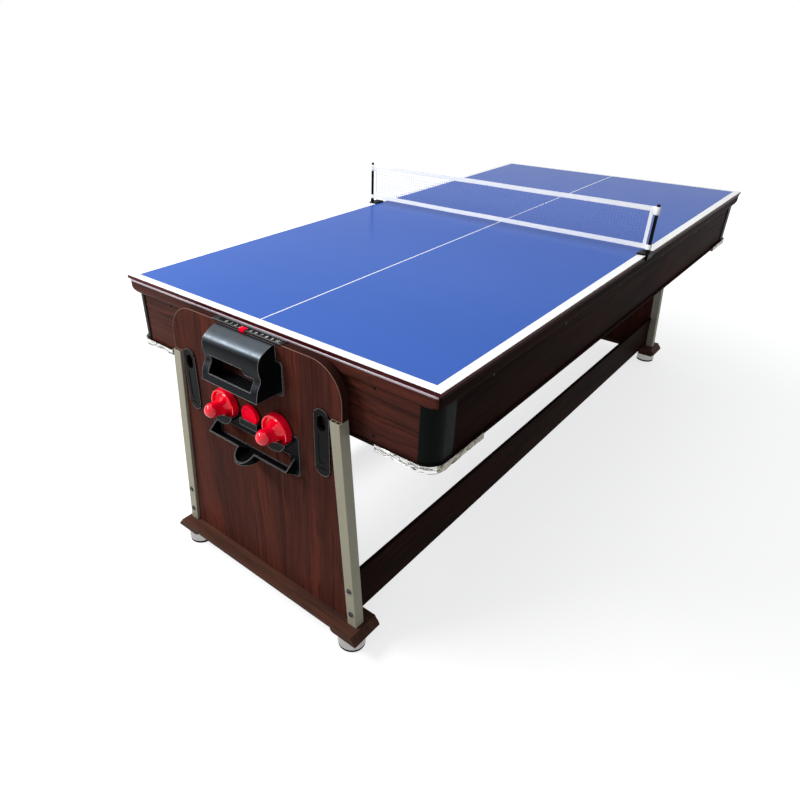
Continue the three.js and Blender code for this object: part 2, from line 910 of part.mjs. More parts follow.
function makeLockPlate() {
  const centre = tableHeight - lockTopDrop - lockHeight / 2
  const front = wallFace + lockThickness
  const plate = alongX(stadium(0, centre, lockWidth, lockHeight, cornerSteps), wallFace, front)
  const hole = alongX(
    stadium(0, lockHoleCentre, lockHoleWidth, lockHoleHeight, cornerSteps),
    wallFace - overrun,
    front + overrun,
  )
  const grooveTop = lockHoleCentre - lockHoleHeight / 2 - lockGrooveWidth / 4
  const groove = alongX(
    stadium(0, grooveTop - lockGrooveHeight / 2, lockGrooveWidth, lockGrooveHeight, smallSteps),
    front - lockGrooveDepth,
    front + overrun,
  )
  const slotLow = centre - lockHeight / 2 + lockSlotRise - lockSlotHeight / 2
  const slot = block(
    wallFace - overrun,
    front + overrun,
    -lockSlotWidth / 2,
    lockSlotWidth / 2,
    slotLow,
    slotLow + lockSlotHeight,
  )
  return cut(plate, hole, groove, slot)
}

// Polygon moved inwards by a wall thickness, corner by corner
function inset(points, wall) {
  return points.map((point, i) => {
    const before = points[(i + points.length - 1) % points.length]
    const after = points[(i + 1) % points.length]
    const normals = [[before, point], [point, after]].map(([from, to]) => {
      const length = Math.hypot(to[0] - from[0], to[1] - from[1])
      return [-(to[1] - from[1]) / length, (to[0] - from[0]) / length]
    })
    const sum = [normals[0][0] + normals[1][0], normals[0][1] + normals[1][1]]
    const scale = (2 * wall) / (sum[0] ** 2 + sum[1] ** 2)
    return [point[0] + sum[0] * scale, point[1] + sum[1] * scale]
  })
}

// Ball return: a hood over a window, a waist and a forward lip
function makeReturnBox() {
  const top = tableHeight - boxTopDrop
  const front = boxDepthShares.map((share, i) => {
    return [wallFace + share * boxDepth, top - boxDropShares[i] * boxDrop]
  })
  const back = wallFace
  const section = [[back, top], [back, top - boxDrop], ...front.reverse()]
  const hollow = inset(section, boxWall)
  hollow[0][0] = back - overrun
  hollow[1][0] = back - overrun
  const earLow = top - boxDrop
  const earSpan = boxHalfWidth + boxEarWidth
  const ear = roundedRectangle(-earSpan, earSpan, earLow, earLow + boxEarHeight, boxEarCorner, smallSteps)
  const body = join(
    alongY(outline(section), -boxHalfWidth, boxHalfWidth),
    alongX(ear, back, back + boxEarThickness),
  )
  const windowTop = top - windowTopDrop
  const windowBottom = top - windowBottomDrop
  const tabInner = windowHalfWidth - windowTabWidth
  const tabBottom = windowTop - windowTabDrop
  const opening = outline([
    [-windowHalfWidth, windowBottom],
    [windowHalfWidth, windowBottom],
    [windowHalfWidth, tabBottom],
    [tabInner + windowTabCorner, tabBottom],
    [tabInner, tabBottom + windowTabCorner],
    [tabInner, windowTop],
    [-windowHalfWidth, windowTop],
  ])
  const wall = boxHalfWidth - boxWall
  return cut(
    body,
    alongY(outline(hollow), -wall, wall),
    alongX(opening, back + boxDepth / 2, back + boxDepth + overrun),
  )
}

function makeScoreRail() {
  const low = panelTop + seat
  const outer = panelOuter + scoreLap
  const inner = outer - scoreWidth
  const base = low + scoreBase
  const top = base + scoreLip
  const section = outline([
    [inner, low],
    [outer, low],
    [outer, top],
    [outer - scoreLipWidth, top],
    [outer - scoreLipWidth, base],
    [inner + scoreLipWidth, base],
    [inner + scoreLipWidth, top],
    [inner, top],
  ])
  const middle = (inner + outer) / 2
  const holes = [-1, 1].map((sign) => {
    const centre = sign * (scoreLength / 2 - scoreHoleInset)
    const half = scoreHole / 2
    return block(middle - half, middle + half, centre - half, centre + half, low - overrun, top + overrun)
  })
  return cut(alongY(section, -scoreLength / 2, scoreLength / 2), ...holes)
}

// Clip that rides on the front lip of the score rail
function makeScoreSlider() {
  const outer = panelOuter + scoreLap + sliderGap
  const low = panelTop + seat - sliderGap
  const base = panelTop + seat + scoreBase + sliderGap
  const top = base + scoreLip
  const lipInner = panelOuter + scoreLap - scoreLipWidth - sliderGap
  const section = outline([
    [outer - sliderHook, low - sliderWall],
    [outer + sliderWall, low - sliderWall],
    [outer + sliderWall, top + sliderWall],
    [outer - sliderReach, top + sliderWall],
    [outer - sliderReach, base],
    [lipInner, base],
    [lipInner, top],
    [outer, top],
    [outer, low],
    [outer - sliderHook, low],
  ])
  return alongY(section, -sliderLength / 2, sliderLength / 2)
}

function makeEnd(end) {
  const leg = new THREE.Group()
  const side = (sign) => ((sign > 0) === (end === 'rear') ? 'left' : 'right')
  leg.add(piece(`end_panel_${end}`, makeEndPanel(), 'walnut'))
  leg.add(piece(`foot_rail_${end}`, makeFootRail(), 'walnut'))
  leg.add(piece(`return_box_${end}`, makeReturnBox(), 'blackPlastic'))
  leg.add(piece(`score_rail_${end}`, makeScoreRail(), 'blackPlastic'))
  const slider = piece(`score_slider_${end}`, makeScoreSlider(), 'redPlastic')
  slider.position.y = -sliderPlace
  leg.add(slider)
  for (const sign of [-1, 1]) {
    leg.add(piece(`leg_post_${end}_${side(sign)}`, makePost(sign), 'aluminium'))
    const lock = piece(`lock_plate_${end}_${side(sign)}`, makeLockPlate(), 'blackPlastic')
    lock.position.y = sign * lockSpacing
    leg.add(lock)
    const foot = piece(`leveller_${end}_${side(sign)}`, makeLeveller(), 'chrome')
    foot.position.set(footCentre, sign * footSpacing, 0)
    leg.add(foot)
    const pad = piece(`leveller_pad_${end}_${side(sign)}`, makeLevellerPad(), 'rubber')
    pad.position.copy(foot.position)
    leg.add(pad)
  }
  if (end === 'front') leg.rotation.z = Math.PI
  return leg
}

// Rack on the front leg, drawn with the wall at its -X side

function halfMoon(radius, centreZ, rim) {
  const start = Math.acos((centreZ - rim) / radius)
  const points = arcPoints(0, centreZ, radius, radius, -Math.PI / 2 - start, -Math.PI / 2 + start, 12)
  return outline(points)
}

function makeRack() {
  const back = wallFace
  const plateFront = back + rackPlate
  const top = tableHeight - rackTopDrop
  const bottom = top - rackHeight
  const plateShape = roundedRectangle(-rackHalfWidth, rackHalfWidth, bottom, top, rackCorner, smallSteps)
  const windowLow = bottom + rackWindowBottom
  const windowHigh = top - rackWindowTop
  const opening = block(
    back - overrun,
    plateFront + trayWall,
    -rackWindowHalfWidth,
    rackWindowHalfWidth,
    windowLow,
    windowHigh,
  )
  const plate = alongX(plateShape, back, plateFront)

  const pocketRim = tableHeight - pocketRimDrop
  const malletCentre = tableHeight - malletDrop
  const pocketInner = malletRadius + pocketFit
  const pockets = [-1, 1].map((sign) => {
    const notch = circle(pocketNotchRadius, pocketSteps)
    const neck = alongX(notch, plateFront + pocketDepth / 2, plateFront + pocketDepth + overrun)
    const outer = halfMoon(pocketInner + pocketWall, malletCentre, pocketRim)
    const inner = halfMoon(pocketInner, malletCentre, pocketRim + overrun)
    const shell = cut(
      alongX(outer, back, plateFront + pocketDepth),
      alongX(inner, plateFront, plateFront + pocketDepth - pocketWall),
      neck.translate(0, 0, malletCentre),
    )
    return shell.translate(0, sign * malletSpacing, 0)
  })

  const puckHalf = puckRadius + pocketFit
  const puckFloor = tableHeight - puckDrop - puckRadius - seat
  const puckRim = tableHeight - puckPocketRimDrop
  const puckFront = plateFront + puckPocketDepth
  const puckOuter = puckHalf + pocketWall
  const puckPocket = cut(
    block(back, puckFront, -puckOuter, puckOuter, puckFloor - pocketWall, puckRim),
    block(plateFront, puckFront - pocketWall, -puckHalf, puckHalf, puckFloor, puckRim + overrun),
  )

  const trayOuter = back + trayDepth
  const trough = outline([
    [back, bottom],
    [trayOuter, bottom + trayFrontRise],
    [back, bottom + trayBackRise],
  ])
  const slope = Math.hypot(trayDepth, trayFrontRise)
  const floorRise = (trayWall * slope) / trayDepth
  const far = trayDepth + overrun
  const farFloor = bottom + floorRise + (trayFrontRise * far) / trayDepth
  const troughHollow = outline([
    [plateFront, bottom + floorRise + (trayFrontRise * rackPlate) / trayDepth],
    [back + far, farFloor],
    [back + far, bottom + trayBackRise * 2],
    [plateFront, bottom + trayBackRise * 2],
  ])
  const trayInner = trayHalfWidth - trayWall
  const spout = (radius, low, high) => {
    const centre = back + spoutDepth - spoutRadius
    const tip = arcPoints(centre, 0, radius, radius, -Math.PI / 2, Math.PI / 2, 10)
    return alongZ(outline([[plateFront, -radius], ...tip, [plateFront, radius]]), low, high)
  }
  const spoutInner = spoutRadius - trayWall
  const spoutFloor = bottom + trayWall
  const tipSlope = (trayFrontRise - spoutTipRise) / (spoutDepth - trayDepth)
  const rimEnd = spoutDepth + overrun
  const aboveRim = alongY(outline([
    [back - overrun, bottom + trayBackRise + (overrun * (trayBackRise - trayFrontRise)) / trayDepth],
    [trayOuter, bottom + trayFrontRise],
    [back + rimEnd, bottom + spoutTipRise - overrun * tipSlope],
    [back + rimEnd, top],
    [back - overrun, top],
  ]), -spoutRadius - overrun, spoutRadius + overrun)
  const trayShell = cut(
    join(
      alongY(trough, -trayHalfWidth, trayHalfWidth),
      cut(spout(spoutRadius, bottom, bottom + trayBackRise), aboveRim),
    ),
    alongY(troughHollow, -trayInner, trayInner),
    spout(spoutInner, spoutFloor, top),
  )
  return cut(join(plate, ...pockets, puckPocket, trayShell), opening)
}

function makeMallet() {
  const knobCentre = malletHeight - malletKnobRadius
  const knobStart = -Math.acos(malletNeckRadius / malletKnobRadius)
  const knob = arcPoints(0, knobCentre, malletKnobRadius, malletKnobRadius, knobStart, Math.PI / 2, 8)
  knob[knob.length - 1][0] = 0
  return turned([
    [0, malletUnderside],
    [malletRadius - malletRimWidth, malletUnderside],
    [malletRadius - malletRimWidth, 0],
    [malletRadius, 0],
    [malletRimRadius, malletRimHeight],
    [malletRimRadius - malletRimWidth, malletRimHeight],
    [malletRimRadius - malletRimWidth * 2, malletDishHeight],
    [malletDishRadius - malletRimWidth, malletDishHeight],
    [(malletDishRadius + malletNeckRadius) / 2, malletDishHeight + malletRimWidth],
    [malletNeckRadius, malletNeckHeight],
    ...knob,
  ], 32)
}

function makePuck() {
  return turned([
    [0, puckRecess],
    [puckRecessRadius, puckRecess],
    [puckRecessRadius + puckRecess, 0],
    [puckRadius - puckEdge, 0],
    [puckRadius, puckEdge],
    [puckRadius, puckThickness - puckEdge],
    [puckRadius - puckEdge, puckThickness],
    [puckRecessRadius + puckRecess, puckThickness],
    [puckRecessRadius, puckThickness - puckRecess],
    [0, puckThickness - puckRecess],
  ], 32)
}

function makeRackSet() {
  const set = new THREE.Group()
  set.add(piece('accessory_rack', makeRack(), 'blackPlastic'))
  const face = wallFace + rackPlate + seat
  for (const [side, sign] of [['left', -1], ['right', 1]]) {
    const mallet = piece(`mallet_${side}`, makeMallet(), 'redPlastic')
    mallet.rotation.y = Math.PI / 2
    mallet.position.set(face, sign * malletSpacing, tableHeight - malletDrop)
    set.add(mallet)
  }
  const puck = piece('puck', makePuck(), 'redPlastic')
  puck.rotation.y = Math.PI / 2
  puck.position.set(face, 0, tableHeight - puckDrop)
  set.add(puck)
  set.rotation.z = Math.PI
  return set
}

// Boards between the two legs, under the box

function makeStretchers() {
  const set = new THREE.Group()
  const reach = panelInner - seat
  for (const [side, sign] of [['left', 1], ['right', -1]]) {
    const half = stretcherThickness / 2
    const board = block(-reach, reach, -half, half, footRailTop + seat, stretcherTop)
    const mesh = piece(`stretcher_${side}`, board, 'walnut')
    mesh.position.y = sign * (stretcherSpread - half)
    set.add(mesh)
  }
  return set
}

const table = new THREE.Group()
table.name = 'multi_game_table'
table.add(makeEnd('front'), makeEnd('rear'), makeRackSet(), makeStretchers())
table.add(makeBox(), makeBoards(), makeNetSet())

export default table
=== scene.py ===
"""Looks of the rotating multi game table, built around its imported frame. Lengths are in metres."""

import math

import bmesh
import bpy
from mathutils import Matrix, Vector, noise


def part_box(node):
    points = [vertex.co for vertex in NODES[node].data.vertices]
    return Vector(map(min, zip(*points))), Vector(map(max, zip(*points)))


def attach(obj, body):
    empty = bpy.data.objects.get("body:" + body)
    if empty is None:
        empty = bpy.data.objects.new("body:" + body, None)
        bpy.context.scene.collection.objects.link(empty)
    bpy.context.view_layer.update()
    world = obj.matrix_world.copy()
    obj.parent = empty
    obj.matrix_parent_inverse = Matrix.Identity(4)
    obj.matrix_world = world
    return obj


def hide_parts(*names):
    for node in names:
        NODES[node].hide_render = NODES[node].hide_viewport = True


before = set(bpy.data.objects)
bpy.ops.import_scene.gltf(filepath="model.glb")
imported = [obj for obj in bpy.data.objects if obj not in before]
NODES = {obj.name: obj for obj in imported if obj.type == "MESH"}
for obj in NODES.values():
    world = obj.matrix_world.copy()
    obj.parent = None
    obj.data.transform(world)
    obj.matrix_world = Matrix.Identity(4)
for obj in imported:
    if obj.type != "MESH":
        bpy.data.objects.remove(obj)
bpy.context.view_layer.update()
SCENE = bpy.context.scene
SCENE.view_settings.view_transform = "Standard"

ENDS = {"front": -1, "rear": 1}
SIDES = {"left": 1, "right": -1}


# Blue boards, with the height of their upper face
HALF_LENGTH = 1.067
HALF_WIDTH = 0.512
TOP = 0.813

# Outer faces of the aprons
APRON_X = 1.055
APRON_Y = 0.5

# Lock holes in the end panels
LOCK_HOLE_Y = 0.233
LOCK_HOLE_Z = 0.649

# Pockets of the pool side
POCKET_RADIUS = 0.034
POCKET_X = 0.979
CORNER_POCKET_Y = 0.424
MIDDLE_POCKET_Y = 0.434
POCKETS = [
    (x * POCKET_X, y * (CORNER_POCKET_Y if x else MIDDLE_POCKET_Y))
    for x in (-1, 0, 1) for y in (-1, 1)
]

# Film on a corner trim: its outer faces, the radius of its corner, and where it stops on each face
TRIM_X = 1.0637
TRIM_Y = 0.5087
TRIM_RADIUS = 0.0437
TRIM_START_X = 0.873
TRIM_END_Y = 0.356

# Lower and upper edges of the net's tapes and loops, and its rows of stitches, above the boards
LOWER_TAPE = (0.018, 0.0315)
UPPER_TAPE = (0.1245, 0.138)
LOWER_LOOP = LOWER_TAPE
UPPER_LOOP = (0.116, 0.138)
STITCH_ROWS = (0.02, 0.0295, 0.1265, 0.136)


# Camera, light and floor

def make_camera():
    """The photo's camera, fitted to corners of the board, the apron, the posts and the feet."""
    place = (-1.94053, -1.04777, 1.39051)
    azimuth, dip, roll = 0.722493, 0.543102, -0.010028
    focal_pixels, photo_pixels, sensor = 635.818, 800, 36
    data = bpy.data.cameras.new("camera")
    camera = bpy.data.objects.new("camera", data)
    SCENE.collection.objects.link(camera)
    forward = Vector((
        math.cos(azimuth) * math.cos(dip),
        math.sin(azimuth) * math.cos(dip),
        -math.sin(dip),
    ))
    right = Vector((math.sin(azimuth), -math.cos(azimuth), 0))
    up = right.cross(forward)
    turned_right = right * math.cos(roll) + up * math.sin(roll)
    turned_up = up * math.cos(roll) - right * math.sin(roll)
    rotation = Matrix((turned_right, turned_up, -forward)).transposed()
    camera.matrix_world = Matrix.Translation(place) @ rotation.to_4x4()
    data.sensor_width = sensor
    data.lens = focal_pixels / photo_pixels * sensor
    data.shift_x, data.shift_y = 0.06875, 0.0125
    data.clip_start, data.clip_end = 0.05, 60
    SCENE.camera = camera


def area_light(name, place, target, size, power, colour=(1, 1, 1)):
    data = bpy.data.lights.new(name, "AREA")
    data.shape = "RECTANGLE"
    data.size, data.size_y = size
    data.energy = power
    data.color = colour
    light = bpy.data.objects.new(name, data)
    light.location = place
    light.rotation_euler = (Vector(target) - Vector(place)).to_track_quat("-Z", "Y").to_euler()
    SCENE.collection.objects.link(light)


def seen_rays(tree):
    """1 for rays that see the backdrop or its reflection, 0 for those that only bring light."""
    path = tree.nodes.new("ShaderNodeLightPath")
    seen = path.outputs["Is Camera Ray"]
    for name in ("Is Glossy Ray", "Is Transmission Ray"):
        either = tree.nodes.new("ShaderNodeMath")
        either.operation = "MAXIMUM"
        tree.links.new(seen, either.inputs[0])
        tree.links.new(path.outputs[name], either.inputs[1])
        seen = either.outputs[0]
    return seen


def make_world():
    """A soft cool sky that lights the table, and plain white wherever the backdrop is seen."""
    world = bpy.data.worlds.new("studio")
    SCENE.world = world
    world.use_nodes = True
    tree = world.node_tree
    tree.nodes.clear()
    mix = tree.nodes.new("ShaderNodeMixShader")
    tree.links.new(seen_rays(tree), mix.inputs[0])
    for socket, colour, strength in ((1, (0.93, 0.96, 1, 1), 0.45), (2, (1, 1, 1, 1), 1)):
        background = tree.nodes.new("ShaderNodeBackground")
        background.inputs["Color"].default_value = colour
        background.inputs["Strength"].default_value = strength
        tree.links.new(background.outputs[0], mix.inputs[socket])
    out = tree.nodes.new("ShaderNodeOutputWorld")
    tree.links.new(mix.outputs[0], out.inputs["Surface"])


def make_floor():
    """Pale floor that takes the table's shadow. It glows for seen rays alone, more so further out."""
    half, sunk = 16, 0.0004
    mesh = bpy.data.meshes.new("floor")
    corners = [(-half, -half, 0), (half, -half, 0), (half, half, 0), (-half, half, 0)]
    mesh.from_pydata(corners, [], [(0, 1, 2, 3)])
    floor = bpy.data.objects.new("floor", mesh)
    SCENE.collection.objects.link(floor)
    floor.location.z = -sunk
    finish = Finish("floor_pale", 0.85, Specular_IOR_Level=0, Emission_Color=(1, 1, 1, 1))
    finish.colour((0.4, 0.4, 0.4, 1))
    away = finish.node("ShaderNodeVectorMath", {0: finish.place}, operation="LENGTH")
    level = finish.span(away.outputs["Value"], 1.4, 3.6, 0.72, 1.0)
    finish.put("Emission Strength", finish.math("MULTIPLY", seen_rays(finish.tree), level))
    mesh.materials.append(finish.material)


# Node materials

class Finish:
    """A principled material with short helpers for its nodes."""

    def __init__(self, name, roughness, metallic=0.0, **sockets):
        self.material = bpy.data.materials.new(name)
        self.material.use_nodes = True
        self.tree = self.material.node_tree
        self.shader = self.tree.nodes["Principled BSDF"]
        self.put("Roughness", roughness)
        self.put("Metallic", metallic)
        for key, value in sockets.items():
            self.put(key.replace("_", " "), value)
        coordinates = self.node("ShaderNodeTexCoord")
        self.place = coordinates.outputs["Object"]
        self.normal = coordinates.outputs["Normal"]

    def feed(self, socket, value):
        """Links an output to the socket, or sets the socket to a plain value."""
        if hasattr(value, "is_output"):
            self.tree.links.new(value, socket)
        else:
            socket.default_value = value

    def put(self, socket, value):
        self.feed(self.shader.inputs[socket], value)

    def colour(self, value):
        self.put("Base Color", value)

    def rough(self, value):
        self.put("Roughness", value)

    def node(self, kind, inputs=None, **settings):
        made = self.tree.nodes.new(kind)
        for key, value in settings.items():
            setattr(made, key, value)
        for key, value in (inputs or {}).items():
            self.feed(made.inputs[key], value)
        return made

    def math(self, operation, *values):
        made = self.node("ShaderNodeMath", dict(enumerate(values)), operation=operation)
        return made.outputs[0]

    def vector(self, operation, *values):
        made = self.node("ShaderNodeVectorMath", dict(enumerate(values)), operation=operation)
        return made.outputs[0]

    def axes(self, source=None):
        return self.node("ShaderNodeSeparateXYZ", {0: source or self.place}).outputs

    def stretched(self, scale, source=None, location=(0, 0, 0), rotation=(0, 0, 0)):
        made = self.node("ShaderNodeMapping", {
            "Vector": source or self.place,
            "Scale": scale, "Location": location, "Rotation": rotation,
        })
        return made.outputs[0]

    def noise(self, vector, scale=1.0, detail=4.0, roughness=0.5, distortion=0.0):
        made = self.node("ShaderNodeTexNoise", {
            "Vector": vector, "Scale": scale,
            "Detail": detail, "Roughness": roughness, "Distortion": distortion,
        })
        return made.outputs["Fac"]

    def ramp(self, value, stops):
        made = self.node("ShaderNodeValToRGB", {0: value})
        elements = made.color_ramp.elements
        while len(elements) < len(stops):
            elements.new(0.5)
        for element, (position, colour) in zip(elements, stops):
            element.position = position
            element.color = (*colour, 1)
        return made.outputs["Color"]

    def mix(self, factor, first, second):
        made = self.node("ShaderNodeMix", {"Factor": factor}, data_type="RGBA")
        colour_inputs = [s for s in made.inputs if s.type == "RGBA"]
        for socket, value in zip(colour_inputs, (first, second)):
            self.feed(socket, value if hasattr(value, "is_output") else (*value, 1))
        return [s for s in made.outputs if s.type == "RGBA"][0]

    def span(self, value, low, high, to_low=0.0, to_high=1.0):
        """Carries low..high over to to_low..to_high, held at both ends."""
        made = self.node("ShaderNodeMapRange", {
            "Value": value, "From Min": low, "From Max": high, "To Min": to_low, "To Max": to_high,
        })
        return made.outputs["Result"]

    def uneven(self, source, roughness, less, more):
        """Roughness that a noise takes from less below its value to more above it."""
        self.rough(self.span(source, 0.3, 0.7, roughness - less, roughness + more))

    def bump(self, height, strength, distance):
        made = self.node("ShaderNodeBump", {
            "Height": height, "Strength": strength, "Distance": distance,
        })
        self.put("Normal", made.outputs[0])


def scaled(colour, *shares):
    """The colour times one share, or each channel times its own."""
    if len(shares) == 1:
        shares = shares * 3
    return tuple(c * share for c, share in zip(colour, shares))


def along_axis(axis, across, length):
    """One value for all three axes but the named one, which has its own."""
    values = [across] * 3
    values["XYZ".index(axis)] = length
    return values


def wood(name, along, base, roughness, specular, seed=(0, 0, 0), figure=1.0, edge=None):
    """Printed dark laminate: curving grain with figure, dark streaks, pores and a satin lacquer.

    With an edge colour, rounded edges get a light line, a painted highlight, and faces square to them
    a darker tone.
    """
    finish = Finish(name, roughness, Specular_IOR_Level=specular)
    drift = finish.node("ShaderNodeTexNoise", {
        "Vector": finish.stretched(along_axis(along, 2.6, 1.5), location=seed),
        "Scale": 1.0, "Detail": 3.0,
    })
    centred = finish.vector("SUBTRACT", drift.outputs["Color"], (0.5, 0.5, 0.5))
    bend = along_axis(along, 0.09 * figure, 0.0)
    bent = finish.vector("MULTIPLY_ADD", centred, bend, finish.place)

    def grain(across, length):
        return finish.stretched(along_axis(along, across, length), bent, location=seed)

    waves = finish.noise(grain(9, 1.6), roughness=0.55, distortion=1.1)
    bands = finish.noise(grain(52, 1.2), roughness=0.6, distortion=0.5)
    fine = finish.noise(grain(230, 3.0), detail=3.0, roughness=0.6)
    hairs = finish.noise(grain(700, 8.0), detail=2.0)
    rare = finish.noise(grain(64, 0.8), detail=3.0, roughness=0.65, distortion=0.8)
    body = finish.math("MULTIPLY_ADD", waves, 0.62, finish.math("MULTIPLY", bands, 0.38))
    reach = 0.5 * figure
    tone = finish.ramp(body, [
        (0.36, scaled(base, 1 - reach, 1 - reach * 0.85, 1 - reach * 0.75)),
        (0.5, base),
        (0.63, scaled(base, 1 + reach * 1.7, 1 + reach * 0.9, 1 + reach * 0.5)),
    ])
    layers = (
        (fine, 0.45, 0.68, 0.5 * figure, scaled(base, 1.6, 1.35, 1.2)),
        (fine, 0.5, 0.3, 0.45, scaled(base, 0.55)),
        (rare, 0.57, 0.68, 0.8 * figure, scaled(base, 0.3, 0.36, 0.42)),
        (hairs, 0.55, 0.72, 0.5, scaled(base, 0.45)),
    )
    for source, low, high, most, shade in layers:
        tone = finish.mix(finish.span(source, low, high, 0.0, most), tone, shade)
    if edge is not None:
        side = finish.math("ABSOLUTE", finish.axes(finish.normal)[0])
        cut = finish.span(side, 0.25, 0.1, 0.0, 0.8)
        line = finish.math("MULTIPLY", finish.span(side, 0.3, 0.55), finish.span(side, 0.97, 0.85))
        tone = finish.mix(cut, tone, scaled(base, 0.35, 0.45, 0.5))
        # Light line on the rounded edges: painted highlight.
        tone = finish.mix(line, tone, edge)
    finish.colour(tone)
    finish.uneven(bands, roughness, 0.05, 0.07)
    finish.bump(finish.math("SUBTRACT", fine, finish.math("MULTIPLY", hairs, 0.6)), 0.08, 0.0003)
    return finish.material


def board_paint():
    """Blue table-tennis paint with its printed border and centre line."""
    border_width, half_line = 0.0234, 0.0017
    finish = Finish("board_blue", 0.24, Specular_IOR_Level=0.022)
    x, y, _ = finish.axes()
    from_middle_x = finish.math("ABSOLUTE", x)
    from_middle_y = finish.math("ABSOLUTE", y)
    border = finish.math(
        "MAXIMUM",
        finish.math("GREATER_THAN", from_middle_x, HALF_LENGTH - border_width),
        finish.math("GREATER_THAN", from_middle_y, HALF_WIDTH - border_width),
    )
    white = finish.math("MAXIMUM", border, finish.math("LESS_THAN", from_middle_y, half_line))
    cloud = finish.noise(finish.place, 1.6, 3.0)
    speck = finish.noise(finish.place, 260.0, 2.0)
    blue = finish.mix(cloud, (0.04, 0.112, 0.43), (0.052, 0.13, 0.475))
    blue = finish.mix(finish.span(speck, 0.55, 0.75, 0, 0.12), blue, (0.012, 0.05, 0.28))
    worn = finish.noise(finish.place, 34.0, 5.0, 0.7)
    ink = finish.mix(finish.span(worn, 0.3, 0.7), (0.91, 0.91, 0.9), (0.96, 0.96, 0.95))
    finish.colour(finish.mix(white, blue, ink))
    scuff = finish.noise(finish.place, 9.0, 6.0, 0.65)
    finish.rough(finish.span(scuff, 0.3, 0.75, 0.17, 0.26))
    finish.bump(finish.noise(finish.place, 420.0, 2.0), 0.04, 0.0002)
    return finish.material


def board_edge():
    """Dark red band glued round the board's cut edge."""
    finish = Finish("board_edge", 0.4, Specular_IOR_Level=0.05)
    grain = finish.noise(finish.stretched((7, 7, 320)))
    dark, light = (0.026, 0.003, 0.004), (0.085, 0.009, 0.011)
    finish.colour(finish.ramp(grain, [(0.3, dark), (0.7, light)]))
    finish.bump(grain, 0.1, 0.0003)
    return finish.material


def moulding(name, colour, roughness, grain=0.12, scale=1400.0, mottled=0.25, **sockets):
    """Moulded or lacquered surface: faint clouds, pale scuffs and a fine grain."""
    finish = Finish(name, roughness, **sockets)
    cloud = finish.noise(finish.place, 22.0, roughness=0.6)
    scuff = finish.noise(finish.stretched((90, 300, 300)), roughness=0.7)
    tone = finish.mix(cloud, scaled(colour, 1 - mottled), colour)
    tone = finish.mix(finish.span(scuff, 0.62, 0.8, 0.0, 0.3), tone, scaled(colour, 1.6))
    finish.colour(tone)
    finish.uneven(finish.noise(finish.place, 60.0), roughness, 0.05, 0.07)
    finish.bump(finish.noise(finish.place, scale, 2.0), grain, 0.0003)
    return finish


def plastic(*settings, **more):
    return moulding(*settings, **more).material


def hood():
    """Black moulding with painted reflection: strong on faces that look up and weak down its front,
    which is painted shade, with a bluish tint painted into its highlight.
    """
    # The bluish specular tint paints the colour of the highlight.
    finish = moulding(
        "black_hood", (0.003, 0.0035, 0.0042), 0.34, 0.015, Specular_Tint=(0.66, 0.82, 1, 1),
    )
    upward = finish.axes(finish.normal)[2]
    # Reflection strength set by how far a face looks up: painted highlight on top, painted shade down
    # the front.
    finish.put("Specular IOR Level", finish.span(upward, 0.3, 0.85, 0.07, 0.85))
    return finish.material


def brushed(name, colour, along, roughness, metallic=1.0, **sockets):
    """Metal with fine lines along one axis."""
    finish = Finish(name, roughness, metallic, **sockets)
    lines = finish.noise(finish.stretched(along_axis(along, 2200.0, 12.0)), detail=2.0)
    cloud = finish.noise(finish.place, 7.0, 3.0)
    finish.colour(finish.mix(finish.span(lines, 0.3, 0.7), scaled(colour, 0.86), colour))
    finish.uneven(cloud, roughness, 0.06, 0.08)
    finish.bump(lines, 0.08, 0.0002)
    return finish.material


def foil(name, colour, dark, roughness, metallic):
    """Bright trim and its crinkled protective film, with creases that run along it and painted shade
    and reflection darkening its folds.
    """
    finish = Finish(name, roughness, metallic)
    wide = finish.stretched((34, 34, 210), rotation=(0.3, 0.2, 0))
    warped = finish.noise(wide, roughness=0.6, distortion=1.2)
    narrow = finish.stretched((120, 120, 520), rotation=(-0.4, 0.3, 0))
    small = finish.noise(narrow, detail=3.0, roughness=0.65, distortion=1.0)
    folds = finish.node("ShaderNodeTexVoronoi", {
        "Vector": finish.stretched((46, 46, 190), rotation=(-0.25, 0.25, 0)), "Scale": 1.0,
    }).outputs["Distance"]
    crinkle = finish.math("MULTIPLY", small, 0.3)
    creases = finish.math("MULTIPLY_ADD", folds, 0.7, crinkle)
    # Dark patches in the folds: painted shade and reflection of the crinkles.
    shade = finish.math("MULTIPLY_ADD", warped, 0.7, crinkle)
    finish.colour(finish.mix(finish.span(shade, 0.43, 0.53), dark, colour))
    finish.uneven(small, roughness, 0.06, 0.12)
    finish.bump(finish.math("MULTIPLY_ADD", warped, 1.2, creases), 0.6, 0.0025)
    return finish.material


def cloth(name, colour):
    """Woven cloth of the pool bed."""
    finish = Finish(name, 0.95, Sheen_Weight=0.35)
    warp = finish.noise(finish.stretched((900, 120, 120)), detail=2.0)
    weft = finish.noise(finish.stretched((120, 900, 120)), detail=2.0)
    weave = finish.math("ADD", warp, weft)
    cloud = finish.noise(finish.place, 5.0)
    finish.colour(finish.mix(finish.span(weave, 0.7, 1.3), scaled(colour, 0.72), colour))
    finish.rough(finish.span(cloud, 0.3, 0.7, 0.88, 1.0))
    finish.bump(weave, 0.3, 0.0006)
    return finish.material


